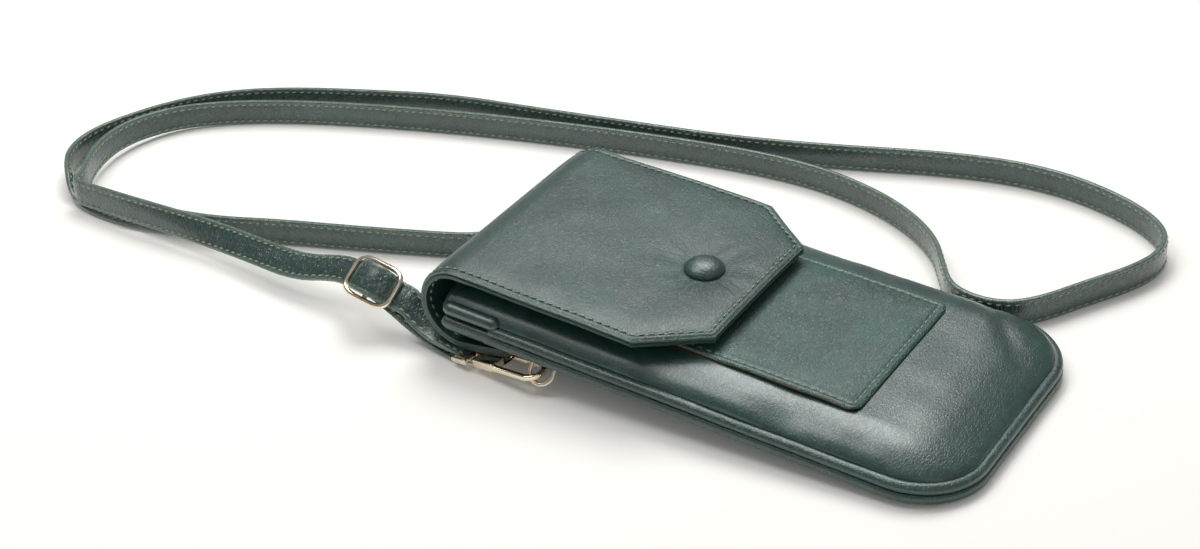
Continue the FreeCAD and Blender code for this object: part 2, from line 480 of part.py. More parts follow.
# Snap hooks: drawn with the bow's centre at the origin and the eye towards minus X.
BOW_IN = "(bow_radius - bow_wire)"
BOW_MID = "(bow_radius - bow_wire / 2)"
BLOCK_END = "-(hook_arm + block_length)"
PIVOT_X, PIVOT_Y = "-(hook_arm + gate_pivot)", BOW_MID
CROSS_X = f"({BLOCK_END} - eye_gap)"
EYE_BAR_X = f"({CROSS_X} - eye_length + eye_wire / 2)"
EYE_OUT = "(strap_width / 2 + eye_room / 2 + eye_side)"
hook_places, eye_places = {}, {}
EYE_ROLLS = {"near": 0, "far": 90}
for side, sign in SIDES.items():
    crossing = ring_places[side].multVec(Vector(0, 0, -size(f"{side}_drop")))
    turned = Rotation(Vector(0, 0, 1), size(f"{side}_turn"))
    turned = turned.multiply(Rotation(Vector(0, 1, 0), size(f"{side}_pitch")))
    centre = crossing - turned.multVec(Vector(size(BOW_MID), 0, 0))
    hook_places[side] = Placement(centre, turned)
    eye_turn = Rotation(Vector(1, 0, 0), EYE_ROLLS[side])
    eye_places[side] = hook_places[side].multiply(Placement(Vector(), eye_turn))

    bow_disc = cylinder(f"bow_disc_{side}", "bow_radius", "bow_wire", ("0", "0", "-bow_wire / 2"))
    bow_hole = cylinder(f"bow_hole_{side}", BOW_IN, "bow_wire", ("0", "0", "-bow_wire / 2"))
    bow_half = box(f"bow_half_{side}", "bow_radius", "2 * bow_radius", "bow_wire",
                   ("0", "-bow_radius", "-bow_wire / 2"))
    bow = common(f"bow_{side}", cut(f"bow_ring_{side}", bow_disc, bow_hole), bow_half)
    arm = box(f"arm_{side}", "hook_arm", "bow_wire", "bow_wire", ("-hook_arm", "-bow_radius", "-bow_wire / 2"))
    stub = box(f"stub_{side}", "hook_stub", "bow_wire", "bow_wire", ("-hook_stub", BOW_IN, "-bow_wire / 2"))
    block = box(f"block_{side}", "block_length", "2 * bow_radius", "block_height",
                (BLOCK_END, "-bow_radius", "-block_height / 2"))
    fork = box(f"fork_{side}", "gate_pocket", "bow_radius", "gate_fork",
               ("-(hook_arm + gate_pocket)", "bow_wire / 2", "-gate_fork / 2"))
    pin_foot = (PIVOT_X, PIVOT_Y, "-block_height / 2")
    pin_hole = cylinder(f"pin_hole_{side}", "gate_pin / 2", "block_height", pin_foot)
    neck_bore = cylinder(f"neck_bore_{side}", "post_size / 2 + post_play", "post_inset",
                         (BLOCK_END, "0", "0"), "x")
    head_bore = cylinder(f"head_bore_{side}", "post_head / 2 + post_play", "post_head_length + 2 * post_play",
                         (f"{BLOCK_END} + post_inset", "0", "0"), "x")
    hook = cut(f"hook_cut_{side}", fuse(f"hook_whole_{side}", bow, arm, stub, block),
               fork, pin_hole, neck_bore, head_bore)
    keep(f"hook_body_{side}", hook, hook_places[side])
    pin = cylinder(f"pin_{side}", "gate_pin / 2", "block_height", pin_foot)
    keep(f"gate_pin_{side}", pin, hook_places[side])

    gate_eye = cylinder(f"gate_eye_{side}", "gate_wire / 2", "gate_wire", (PIVOT_X, PIVOT_Y, "-gate_wire / 2"))
    gate_bar = box(f"gate_bar_{side}", "hook_arm + gate_pivot - hook_stub - gate_play", "gate_wire", "gate_wire",
                   (PIVOT_X, f"{PIVOT_Y} - gate_wire / 2", "-gate_wire / 2"))
    gate_bore = cylinder(f"gate_bore_{side}", "gate_pin / 2 + gate_play / 2", "gate_wire",
                         (PIVOT_X, PIVOT_Y, "-gate_wire / 2"))
    keep(f"hook_gate_{side}", cut(f"gate_cut_{side}", fuse(f"gate_whole_{side}", gate_eye, gate_bar), gate_bore),
         hook_places[side])

    post = cylinder(f"post_{side}", "post_size / 2", "eye_gap + post_inset + post_play", (CROSS_X, "0", "0"), "x")
    head = cylinder(f"head_{side}", "post_head / 2", "post_head_length",
                    (f"{BLOCK_END} + post_inset + post_play", "0", "0"), "x")
    cross = box(f"cross_{side}", "eye_wire", f"2 * {EYE_OUT}", "eye_wire",
                (f"{CROSS_X} - eye_wire", f"-{EYE_OUT}", "-eye_wire / 2"))
    rails = [box(f"rail_{side}_{i}", "eye_length - eye_wire / 2", "eye_side", "eye_wire",
                 (EYE_BAR_X, edge, "-eye_wire / 2"))
             for i, edge in enumerate((f"-{EYE_OUT}", f"{EYE_OUT} - eye_side"))]
    bar = cylinder(f"eye_bar_{side}", "eye_wire / 2", f"2 * {EYE_OUT}", (EYE_BAR_X, f"-{EYE_OUT}", "0"), "y")
    keep(f"hook_eye_{side}", fuse(f"eye_whole_{side}", post, head, cross, bar, *rails), eye_places[side])

# Slider: a rounded frame with a centre bar, drawn flat with X along the strap and Z out of it.
pose = Rotation(Vector(0, 0, 1), size("slider_heading"))
pose = pose.multiply(Rotation(Vector(0, 1, 0), -size("slider_climb")))
pose = pose.multiply(Rotation(Vector(1, 0, 0), size("slider_roll")))
near_ring = ring_places["near"].Base
slider_spot = Vector(near_ring.x - size("slider_reach"), near_ring.y + size("slider_inset"), size("slider_z"))
SLIDER = Placement(slider_spot, pose)
ROOM = "(strap_width / 2 + strap_room / 2)"


def slider_outline(grow):
    end, edge = f"(slider_length / 2 - slider_wire + {grow})", f"({ROOM} + {grow})"
    return {"near_mouth": (f"-{end}", f"-{edge}"), "near_bottom": (end, f"-{edge}"),
            "far_bottom": (end, edge), "far_mouth": (f"-{end}", edge)}


frame_outer = plate("frame_outer", slider_outline("slider_wire"), "-slider_height / 2", "slider_height",
                    [("slider_corner", MOUTH + BOTTOM)])
frame_inner = plate("frame_inner", slider_outline("0"), "-slider_height / 2", "slider_height",
                    [("slider_corner - slider_wire", MOUTH + BOTTOM)])
keep("slider_frame", cut("frame_cut", frame_outer, frame_inner), SLIDER)
centre_bar = cylinder("centre_bar", "slider_bar / 2", f"2 * {ROOM}", ("0", f"-{ROOM}", "-bar_drop"), "y")
keep("slider_bar", centre_bar, SLIDER)
LOOP_IN = "(slider_bar / 2 + loop_play)"
LOOP_START = ("0", "-strap_width / 2", "-bar_drop")
bar_loop = cylinder("bar_loop", f"{LOOP_IN} + skived_leather", "strap_width", LOOP_START, "y")
bar_loop_bore = cylinder("bar_loop_bore", LOOP_IN, "strap_width", LOOP_START, "y")
keep("return_loop", cut("bar_loop_cut", bar_loop, bar_loop_bore), SLIDER)


def solid_feature(label, shape, placement=Placement()):
    """A sub-part whose shape is worked out here rather than by a feature."""
    feature = doc.addObject("Part::Feature", label + "_shape")
    feature.Shape = shape
    keep(label, feature, placement)


def soft_path(points, share):
    """Straight runs joined by arcs, each of which takes a share of the shorter run beside it."""
    edges = []
    last = points[0]
    for before, here, after in zip(points, points[1:], points[2:]):
        back, ahead = (before - here), (after - here)
        reach = share * min(back.Length, ahead.Length)
        back.normalize()
        ahead.normalize()
        turn = math.pi - back.getAngle(ahead)
        radius = reach / math.tan(turn / 2)
        first, second = here + back * reach, here + ahead * reach
        inward = (back + ahead).normalize()
        middle = here + inward * (math.hypot(reach, radius) - radius)
        edges.append(Part.LineSegment(last, first).toShape())
        edges.append(Part.Arc(first, middle, second).toShape())
        last = second
    edges.append(Part.LineSegment(last, points[-1]).toShape())
    return Part.Wire(edges)


def flat_section(middle, across, out, width, leather):
    """The strap's rectangle at one place: across is the way of its width, out the way its face looks."""
    half_width, half_leather = across * (width / 2), out * (leather / 2)
    corners = [middle - half_width - half_leather, middle + half_width - half_leather,
               middle + half_width + half_leather, middle - half_width + half_leather]
    return Part.makePolygon(corners + corners[:1])


def rolled(forward, roll):
    """The strap's across and out directions for a way forward and a roll in degrees."""
    level = Vector(0, 0, 1).cross(forward).normalize()
    upward = forward.cross(level)
    angle = math.radians(roll)
    across = level * math.cos(angle) + upward * math.sin(angle)
    return across, forward.cross(across)


def roll_of(forward, across):
    """The roll, in degrees, that turns the strap's width to a given direction."""
    level = Vector(0, 0, 1).cross(forward).normalize()
    return math.degrees(math.atan2(across.dot(forward.cross(level)), across.dot(level)))


WIDTH, LEATHER = size("strap_width"), size("strap_leather")

# Strap hump: over the slider's bar and under both its ends.
LOW_LEVEL = "-(slider_height / 2 + loop_play + strap_leather / 2)"
HIGH_LEVEL = "slider_bar / 2 - bar_drop + 2 * loop_play + skived_leather + strap_leather / 2"
low_level, high_level = size(LOW_LEVEL), size(HIGH_LEVEL)
end_x, foot_x, top_x = size("hump_length / 2"), size("hump_foot"), size("hump_top")
hump_points = [Vector(x, -WIDTH / 2, z) for x, z in (
    (-end_x, low_level - size("hump_dip")), (-foot_x, low_level), (-top_x, high_level),
    (top_x, high_level), (foot_x, low_level), (end_x, low_level))]
HUMP_SHARE = 0.4
hump_wire = soft_path(hump_points, HUMP_SHARE)
hump_face = hump_wire.makeOffset2D(LEATHER / 2, 0, True, True)
hump_other = hump_wire.makeOffset2D(-LEATHER / 2, 0, True, True)
hump = hump_face.fuse(hump_other).removeSplitter().extrude(Vector(0, WIDTH, 0))
solid_feature("strap_hump", hump, SLIDER)


def strip(stations, start_way, end_way, steps=3):
    """A smooth stretch of strap through stations of middle, roll and thickness."""
    middles = [middle for middle, _, _ in stations]
    last = len(stations) - 1
    ways = [middles[min(i + 1, last)] - middles[max(i - 1, 0)] for i in range(last + 1)]
    ways[0] = start_way * (middles[1] - middles[0]).Length
    ways[last] = end_way * (middles[last] - middles[last - 1]).Length
    for i in range(1, last):
        ways[i] = ways[i] / 2
    sections = []
    for i in range(last):
        for step in range(steps + (i == last - 1)):
            u = step / steps
            ease = u * u * (3 - 2 * u)
            middle = (middles[i] * (1 - ease) + middles[i + 1] * ease
                      + ways[i] * (u * (1 - u) ** 2) - ways[i + 1] * (u * u * (1 - u)))
            forward = ((middles[i + 1] - middles[i]) * (6 * u * (1 - u))
                       + ways[i] * (1 - 4 * u + 3 * u * u) + ways[i + 1] * (3 * u * u - 2 * u)).normalize()
            roll, leather = (a + (b - a) * u for a, b in zip(stations[i][1:], stations[i + 1][1:]))
            across, out = rolled(forward, roll)
            sections.append(flat_section(middle, across, out, WIDTH, leather))
    return Part.makeLoft(sections, True, True)


def stations_of(route, side=None):
    """The stations of a route, with X and Y from a ring where a side is named."""
    start = ring_places[side].Base if side else Vector()
    return [(Vector(start.x + x, start.y + y, z), roll, share * LEATHER) for x, y, z, roll, share in route]


# Near run, ending where the long loop starts.
on_ground = size("strap_lift") + WIDTH / 2
near_stations = stations_of(NEAR_ROUTE, "near") + [(Vector(*LOOP_ROUTE[0], on_ground), 90, LEATHER)]
loop_forward = (Vector(*LOOP_ROUTE[1], 0) - Vector(*LOOP_ROUTE[0], 0)).normalize()
near_start = (near_stations[1][0] - near_stations[0][0]).normalize()
solid_feature("strap_near", strip(near_stations, near_start, loop_forward))

# Long loop on edge: a flat strap swept upright along its route.
loop_points = [Vector(x, y, on_ground) for x, y in LOOP_ROUTE]
LOOP_SHARE = 0.45
loop_wire = soft_path(loop_points, LOOP_SHARE)
start_out = Vector(0, 0, 1).cross(loop_forward)
start_section = flat_section(loop_points[0], Vector(0, 0, 1), start_out, WIDTH, LEATHER)
sweep = Part.BRepOffsetAPI.MakePipeShell(loop_wire)
sweep.setBiNormalMode(Vector(0, 0, 1))
sweep.add(start_section)
sweep.build()
sweep.makeSolid()
solid_feature("strap_loop", sweep.shape())

# Left end of the loop, under the near run.
left_stations = [(loop_points[-1], 90, LEATHER)] + stations_of(LEFT_ROUTE)
left_way = (loop_points[-1] - loop_points[-2]).normalize()
left_end_way = (left_stations[-1][0] - left_stations[-2][0]).normalize()
solid_feature("strap_left", strip(left_stations, left_way, left_end_way))


# Sliding run: the stretch that the slider can travel along.
towards_eye = SLIDER.Rotation.multVec(Vector(1, 0, 0))
slider_across = SLIDER.Rotation.multVec(Vector(0, 1, 0))
run_start = SLIDER.multVec(Vector(-end_x, 0, low_level - size("hump_dip")))
run_way = SLIDER.Rotation.multVec(Vector(foot_x - end_x, 0, -size("hump_dip"))).normalize()
run_stations = [(run_start, roll_of(run_way, slider_across), LEATHER), near_stations[0]]
RUN_STEPS = 9
solid_feature("strap_slide_run", strip(run_stations, run_way, near_start, RUN_STEPS))

# Doubled stretch at the near hook: the lead, and the return from the eye to the slider's bar.
SKIVED = size("skived_leather")
layer = size("eye_wire / 2 + loop_play") + SKIVED / 2
eye_bar = Vector(size(EYE_BAR_X), 0, 0)
near_eye, near_way = eye_places["near"], eye_places["near"].Rotation.multVec(Vector(1, 0, 0))
lead_start = SLIDER.multVec(Vector(end_x, 0, low_level))
lead_end = near_eye.multVec(eye_bar + Vector(0, 0, layer))
slider_roll = roll_of(towards_eye, slider_across)
eye_roll = roll_of(near_way, near_eye.Rotation.multVec(Vector(0, 1, 0)))
lead_stations = [(lead_start, slider_roll, LEATHER)] + stations_of(LEAD_ROUTE, "near")
lead_stations.append((lead_end, eye_roll, SKIVED))
solid_feature("strap_lead", strip(lead_stations, towards_eye, near_way))
under_bar = size("bar_drop + slider_bar / 2 + 2 * loop_play + skived_leather + skived_leather / 2")
return_start = SLIDER.multVec(Vector(0, 0, -under_bar))
return_end = near_eye.multVec(eye_bar - Vector(0, 0, layer))
return_stations = [(return_start, slider_roll, SKIVED)] + stations_of(RETURN_ROUTE, "near")
return_stations.append((return_end, eye_roll, SKIVED))
solid_feature("strap_return", strip(return_stations, towards_eye, near_way))

# Strap ends round the eyes' bars: half a turn, on the side towards the hook.
WRAP_START = (EYE_BAR_X, "-strap_width / 2", "0")
WRAP_SPACE = "(eye_wire + skived_leather)"
for side in SIDES:
    wrap = cylinder(f"wrap_{side}", "eye_wire / 2 + loop_play + skived_leather", "strap_width", WRAP_START, "y")
    wrap_bore = cylinder(f"wrap_bore_{side}", "eye_wire / 2 + loop_play", "strap_width", WRAP_START, "y")
    wrap_half = box(f"wrap_half_{side}", WRAP_SPACE, "strap_width", f"2 * {WRAP_SPACE}",
                    (EYE_BAR_X, "-strap_width / 2", f"-{WRAP_SPACE}"))
    half_turn = common(f"wrap_common_{side}", cut(f"wrap_ring_{side}", wrap, wrap_bore), wrap_half)
    keep(f"strap_end_loop_{side}", half_turn, eye_places[side])

# Far end: from the long loop behind the fold, rising to the far hook's upright eye, and its sewn tail.
far_eye = eye_places["far"]
far_way = far_eye.Rotation.multVec(Vector(1, 0, 0))
far_up = far_eye.Rotation.multVec(Vector(0, 1, 0))
far_out = far_up.cross(far_way)
far_bar = far_eye.multVec(eye_bar)
far_last = far_bar + far_out * layer
far_level = Vector(far_way.x, far_way.y, 0).normalize()
before_eye = far_last - far_level * size("tail_doubling")
far_stations = left_stations[-1:] + stations_of(FAR_ROUTE, "far")
far_stations += [(before_eye, 90, LEATHER), (far_last, roll_of(far_way, far_up), SKIVED)]
solid_feature("strap_far", strip(far_stations, left_end_way, far_way))
tail_last = far_bar - far_out * layer
tail_gap = (LEATHER + SKIVED) / 2 + size("loop_play")
tail_first = before_eye - far_out * tail_gap
tail_sections = [flat_section(tail_first, Vector(0, 0, 1), far_out, WIDTH, SKIVED),
                 flat_section(tail_last, far_up, far_out, WIDTH, SKIVED)]
solid_feature("strap_far_tail", Part.makeLoft(tail_sections, True, True))

# Every object built, every sub-part one valid solid, then the files.
doc.recompute()
for obj in doc.Objects:
    if "Invalid" in obj.State or "Error" in obj.State:
        raise RuntimeError(f"{obj.Label} failed: {obj.State}")
for label, obj in PARTS.items():
    if obj.Shape.isNull() or not obj.Shape.isValid() or len(obj.Shape.Solids) != 1:
        raise RuntimeError(f"{label} is not one valid solid: {len(obj.Shape.Solids)}")
os.makedirs("parts", exist_ok=True)
for label, obj in PARTS.items():
    obj.Shape.exportStep(f"parts/{label}.step")
    span = obj.Shape.BoundBox
    print(f"{label}: {obj.Shape.Volume:.0f} mm3, X {span.XMin:.1f} to {span.XMax:.1f}, "
          f"Y {span.YMin:.1f} to {span.YMax:.1f}, Z {span.ZMin:.1f} to {span.ZMax:.1f}")
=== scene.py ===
import math

import bmesh
import bpy
from mathutils import Matrix, Vector, noise


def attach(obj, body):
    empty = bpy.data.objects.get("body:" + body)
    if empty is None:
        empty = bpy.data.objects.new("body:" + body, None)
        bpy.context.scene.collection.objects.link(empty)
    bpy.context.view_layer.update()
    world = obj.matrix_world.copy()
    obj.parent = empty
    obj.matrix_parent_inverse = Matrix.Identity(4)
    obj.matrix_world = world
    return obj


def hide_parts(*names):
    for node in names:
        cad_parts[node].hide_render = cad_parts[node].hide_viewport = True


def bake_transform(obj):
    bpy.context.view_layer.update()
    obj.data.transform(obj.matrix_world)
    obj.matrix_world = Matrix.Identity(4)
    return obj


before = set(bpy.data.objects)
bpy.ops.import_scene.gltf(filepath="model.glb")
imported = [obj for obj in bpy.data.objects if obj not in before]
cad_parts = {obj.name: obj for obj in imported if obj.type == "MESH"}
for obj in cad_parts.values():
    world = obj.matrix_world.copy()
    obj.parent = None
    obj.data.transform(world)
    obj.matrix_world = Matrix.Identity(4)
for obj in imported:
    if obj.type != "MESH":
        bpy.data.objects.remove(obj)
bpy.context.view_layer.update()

scene = bpy.context.scene
scene.view_settings.view_transform = "Standard"

# Camera: the photograph's view, from above the near right corner of the pouch, about three quarters of a
# metre away and tipped slightly to one side.
TURN, LIFT, TIP = 34.873, 32.336, -4.537
EYE = (0.3057, -0.5198, 0.4166)
SENSOR, FOCAL_PIXELS, PHOTO_PIXELS = 36, 2206.33, 1200
turn, lift, tip = (math.radians(angle) for angle in (TURN, LIFT, TIP))
back = Vector((math.sin(turn) * math.cos(lift), -math.cos(turn) * math.cos(lift), math.sin(lift)))
level = Vector((math.cos(turn), math.sin(turn), 0))
right = level * math.cos(tip) + back.cross(level) * math.sin(tip)
lens = bpy.data.cameras.new("camera")
lens.sensor_width = SENSOR
lens.lens = SENSOR * FOCAL_PIXELS / PHOTO_PIXELS
camera = bpy.data.objects.new("camera", lens)
scene.collection.objects.link(camera)
camera.matrix_world = Matrix((right, back.cross(right), back)).transposed().to_4x4()
camera.location = EYE
scene.camera = camera


# Floor: a sheet of warm white paper under and behind the pouch, which shines faintly of itself so that only
# the shadow beside the pouch shows. A large soft lamp stands behind, another hangs above on the left and a
# weak one stands in front. The walls all round are pale, dimmer near the ground.
PAPER, PAPER_GLOW, NO_GLOW = (0.97, 0.955, 0.915, 1), (0.062, 0.06, 0.058, 1), (0, 0, 0, 1)
CAMERA_RAY, GLOSSY_RAY, TRANSMITTED_RAY = 0, 3, 6
FLOOR_REACH = 6
WALL_LOW, WALL_RISE = 0.08, 0.29
LAMPS = (
    ("lamp_behind", (-0.27, 0.58, 1.11), (0, 0, 0), 0.7, 10.2),
    ("lamp_above", (-0.5, -0.12, 1.1), (0, 0, 0), 0.54, 4.3),
    ("lamp_front", (0.75, -0.5, 0.5), (0.02, 0, 0), 0.5, 0.4))


class Wire:
    """A shader value. Sums on it add Math nodes to its tree."""

    def __init__(self, tree, socket=None):
        self.tree = tree
        self.socket = socket

    def node(self, kind, settings, sockets, out=0):
        """A new node with its settings and its sockets' values or links. Gives its output number out."""
        made = self.tree.nodes.new(kind)
        for key, value in settings.items():
            setattr(made, key, value)
        for key, value in sockets.items():
            if isinstance(value, Wire):
                self.tree.links.new(value.socket, made.inputs[key])
            else:
                made.inputs[key].default_value = value
        return Wire(self.tree, made.outputs[out])

    def maths(self, operation, *values):
        return self.node("ShaderNodeMath", {"operation": operation}, dict(enumerate(values)))

    def __add__(self, other):
        return self.maths("ADD", self, other)

    def __sub__(self, other):
        return self.maths("SUBTRACT", self, other)

    def __rsub__(self, other):
        return self.maths("SUBTRACT", other, self)

    def __mul__(self, other):
        return self.maths("MULTIPLY", self, other)

    __radd__ = __add__
    __rmul__ = __mul__

    def between(self, low, high):
        """0 below low, 1 above high and smooth between."""
        return self.node("ShaderNodeMapRange", {"interpolation_type": "SMOOTHSTEP"},
                         {"Value": self, "From Min": low, "From Max": high})

    def mix(self, first, second):
        """The first colour where this is 0, the second where it is 1."""
        return self.node("ShaderNodeMix", {"data_type": "RGBA"}, {0: self, 6: first, 7: second}, 2)

    def feed(self, shader, name):
        """Links this value to a shader's socket."""
        self.tree.links.new(self.socket, shader.inputs[name])


def new_material(name):
    """A material, a value to build its nodes from, and its shader."""
    made = bpy.data.materials.new(name)
    made.use_nodes = True
    return made, Wire(made.node_tree), made.node_tree.nodes["Principled BSDF"]


paper, tree, shader = new_material("white_paper")
shader.inputs["Base Color"].default_value = PAPER
shader.inputs["Roughness"].default_value = 0.9
shader.inputs["Specular IOR Level"].default_value = 0
rays = (CAMERA_RAY, GLOSSY_RAY, TRANSMITTED_RAY)
shown = sum(tree.node("ShaderNodeLightPath", {}, {}, ray) for ray in rays)
shown.mix(NO_GLOW, PAPER_GLOW).feed(shader, "Emission Color")
shader.inputs["Emission Strength"].default_value = 1
sheet_form = bmesh.new()
bmesh.ops.create_grid(sheet_form, x_segments=1, y_segments=1, size=FLOOR_REACH)
floor_mesh = bpy.data.meshes.new("floor")
sheet_form.to_mesh(floor_mesh)
sheet_form.free()
floor_mesh.materials.append(paper)
floor = bpy.data.objects.new("floor", floor_mesh)
scene.collection.objects.link(floor)
walls = bpy.data.worlds.new("pale_walls")
walls.use_nodes = True
overhead = Wire(walls.node_tree).node("ShaderNodeTexCoord", {}, {})
overhead = overhead.node("ShaderNodeSeparateXYZ", {}, {"Vector": overhead}, 2)
backdrop = walls.node_tree.nodes["Background"]
(overhead.maths("ABSOLUTE", overhead) * WALL_RISE + WALL_LOW).feed(backdrop, "Strength")
backdrop.inputs["Color"].default_value = (1, 1, 1, 1)
scene.world = walls
for name, spot, target, width, power in LAMPS:
    lamp = bpy.data.lights.new(name, "AREA")
    lamp.energy = power
    lamp.size = width
    holder = bpy.data.objects.new(name, lamp)
    holder.location = spot
    holder.rotation_euler = (Vector(target) - Vector(spot)).to_track_quat("-Z", "Y").to_euler()
    scene.collection.objects.link(holder)


# Leather: smooth green hide with a fine pebble of creases, a slow change of shade and a soft wax finish.
# Every leather piece is cut from it, some duller and some more polished.
GREEN = (0.018, 0.066, 0.0545)
PAINTED_EDGE = (0.106, 0.175, 0.135, 1)
DARKEST, LIGHTEST = 0.55, 1.35
PEBBLES, WRINKLES, FOLDS, CLOUDS, BENDS = 820.0, 330.0, 210.0, 42.0, 300.0
BEND_REACH, RELIEF, RELIEF_STRENGTH = 0.002, 0.00022, 0.8
COAT_INDEX, HIDE_SPECULAR = 1.576, 0.625
MAP, OBJECT = 2, 3


def leather(name, shade, gloss, grain=1.0, lines=(1, 1, 1), painted=False, unrolled=False, drawn_to=None):
    """Green hide. shade scales its colour, gloss its shine and grain its relief. lines stretches the creases
    along a direction, painted colours the edges that the piece's edge attribute marks, and unrolled lays the
    grain along the piece's own map. Fine folds run to the place it is drawn_to."""
    made, tree, shader = new_material(name)
    spot = tree.node("ShaderNodeTexCoord", {}, {}, MAP if unrolled else OBJECT)
    spot = tree.node("ShaderNodeMapping", {}, {"Vector": spot, "Scale": lines})
    bend = tree.node("ShaderNodeTexNoise", {}, {"Vector": spot, "Scale": BENDS}, 1)
    bent = tree.node("ShaderNodeVectorMath", {"operation": "MULTIPLY_ADD"},
                     {0: bend, 1: (BEND_REACH,) * 3, 2: spot})
    pebble, wrinkle = (
        tree.node("ShaderNodeTexVoronoi", {"feature": "DISTANCE_TO_EDGE"}, {"Vector": bent, "Scale": cells})
        for cells in (PEBBLES, WRINKLES))
    crease = pebble.between(0.0, 0.32)
    furrow = wrinkle.between(0.0, 0.16)
    folds = tree.node("ShaderNodeTexNoise", {},
                      {"Vector": spot, "Scale": FOLDS, "Detail": 5.0, "Distortion": 0.6})
    clouds = tree.node("ShaderNodeTexNoise", {}, {"Vector": spot, "Scale": CLOUDS, "Detail": 4.0})
    slow, quick = clouds.between(0.3, 0.7), folds.between(0.3, 0.7)
    tone = slow * 0.45 + quick * 0.3 + crease * 0.15 + furrow * 0.1
    dark, light = (tuple(c * shade * level for c in GREEN) + (1,) for level in (DARKEST, LIGHTEST))
    colour = tone.mix(dark, light)
    rough = (1 - crease) * 0.06 + quick * 0.12 + (0.5 - 0.2 * gloss)
    if painted:
        rim = tree.node("ShaderNodeAttribute", {"attribute_name": "edge"}, {}, 2)
        colour = rim.mix(colour, PAINTED_EDGE)
        rough = rough + rim * 0.08
    colour.feed(shader, "Base Color")
    rough.feed(shader, "Roughness")
    height = crease * 0.75 + furrow * 0.3 + folds * 0.8
    if drawn_to:
        away = tree.node("ShaderNodeVectorMath", {"operation": "SUBTRACT"}, {0: spot, 1: drawn_to})
        far = tree.node("ShaderNodeVectorMath", {"operation": "LENGTH"}, {0: away}, 1)
        sides = tree.node("ShaderNodeSeparateXYZ", {}, {"Vector": away})
        turn = tree.maths("ARCTAN2", Wire(tree.tree, sides.socket.node.outputs[1]), sides)
        polar = tree.node("ShaderNodeCombineXYZ", {}, {"X": turn * 5.0, "Y": far * 90.0})
        drawn = tree.node("ShaderNodeTexNoise", {}, {"Vector": polar, "Scale": 1.6, "Detail": 2.0})
        height = height + drawn * (far.between(0.006, 0.008) - far.between(0.012, 0.028)) * 6.0
    bump = tree.node("ShaderNodeBump", {},
                     {"Height": height, "Distance": RELIEF * grain, "Strength": RELIEF_STRENGTH})
    bump.feed(shader, "Normal")
    shader.inputs["Coat Weight"].default_value = min(1, 0.2 + 0.6 * gloss)
    shader.inputs["Coat Roughness"].default_value = 0.38 - 0.09 * gloss
    shader.inputs["Coat IOR"].default_value = COAT_INDEX
    shader.inputs["Specular IOR Level"].default_value = HIDE_SPECULAR
    return made


def piece(name, form, *materials, sharp=None):
    """A finished mesh as an object of the scene. Edges that turn by more than sharp degrees stay sharp."""
    mesh = bpy.data.meshes.new(name)
    form.to_mesh(mesh)
    form.free()
    mesh.shade_smooth()
    if sharp:
        mesh.set_sharp_from_angle(angle=math.radians(sharp))
    for material in materials:
        mesh.materials.append(material)
    made = bpy.data.objects.new(name, mesh)
    scene.collection.objects.link(made)
    return made


def stand_in(made, body, slot, *stands_for):
    """The piece rides on a body and stands for its solids."""
    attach(made, body)
    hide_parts(*stands_for)


# Strap: two layers of hide sewn face to face along both edges, 10 mm wide, with painted edges. It lies on
# its edge in one long loop behind the pouch, from the far hook round to the slider near the front.
STRAP_HALF, STRAP_THICK, STRAP_TURNS, STRAP_SHARP = 0.0051, 0.0012, 32, 70
PARED, PARED_LONG = 0.0005, 0.013
EDGE_POWER, FACE_POWER, FACE_SHARE = 0.42, 0.5, 0.97
SEAM_SHARE, GROOVE, GROOVE_WIDE, PAINT_WIDE = 0.7, 0.2, 0.08, 0.1
STITCH_PITCH, STITCH_LONG, STITCH_THICK, STITCH_LEAN, STITCH_SUNK = 0.0031, 0.0021, 0.00062, 0.12, 0.86
THREAD_DARK, THREAD_LIGHT = (0.19, 0.275, 0.2, 1), (0.4, 0.5, 0.375, 1)
MERGE = 1e-6
SLACK = 0.05
LOOP_HIGH, ON_EDGE = 5.3, 90
NEAR_RUN = (
    (-171.5, -35.4, 9.9, 140), (-190, -33.2, 9.5, 130), (-210, -32, 9.4, 118), (-230, -31.8, 9.3, 106),
    (-247, -31.4, 9.0, 102), (-258, -30.6, 8.5, 100), (-267.5, -30, 8.1, 98), (-276.2, -29.4, 7.9, 94),
    (-277.8, -22, 7.9, 90), (-282, -15.3, 7.9, 90), (-286, -7.5, 7.9, 90), (-288.6, 1, 7.8, 90),
    (-289.9, 9, 7.5, 90), (-289.2, 20.5, 6.8, 90), (-283, 34.5, 6.0, 90), (-269.5, 47.2, 5.5, 90))
LONG_LOOP = (
    (-246, 60), (-213, 72), (-172, 84), (-128, 94), (-90, 101), (-58, 105.5), (-30, 106), (-6, 101),
    (14, 92.5), (30, 80.5), (39.5, 66.5), (47, 55.5), (57.5, 51.5), (69, 52.8), (78, 61), (87, 76),
    (97, 91), (102, 104), (100.5, 116.5), (91, 126.5), (75, 134.5), (54, 140), (31, 140), (4, 134),
    (-30, 122.5), (-68, 112), (-110, 105), (-150, 98.5), (-188, 93), (-222, 81), (-250, 70), (-272, 57),
    (-287.5, 40), (-297, 21))
LEFT_END = (
    (-300.8, 8, 5.3, 90), (-300.4, -2, 5.3, 90), (-297.2, -10.6, 5.2, 90), (-291.6, -16.8, 5.2, 94),
    (-285.4, -20.4, 4.3, 124), (-279.8, -22.9, 2.1, 164), (-273, -25.2, 1.4, 180), (-263, -27.2, 1.5, 186),
    (-250, -28, 3.6, 212), (-238, -28, 5.2, 250), (-224, -26.2, 5.4, 266), (-208, -22.5, 5.4, 270),
    (-187, -14.5, 5.4, 270), (-158, -5.5, 5.4, 270), (-130, 4, 5.4, 270))
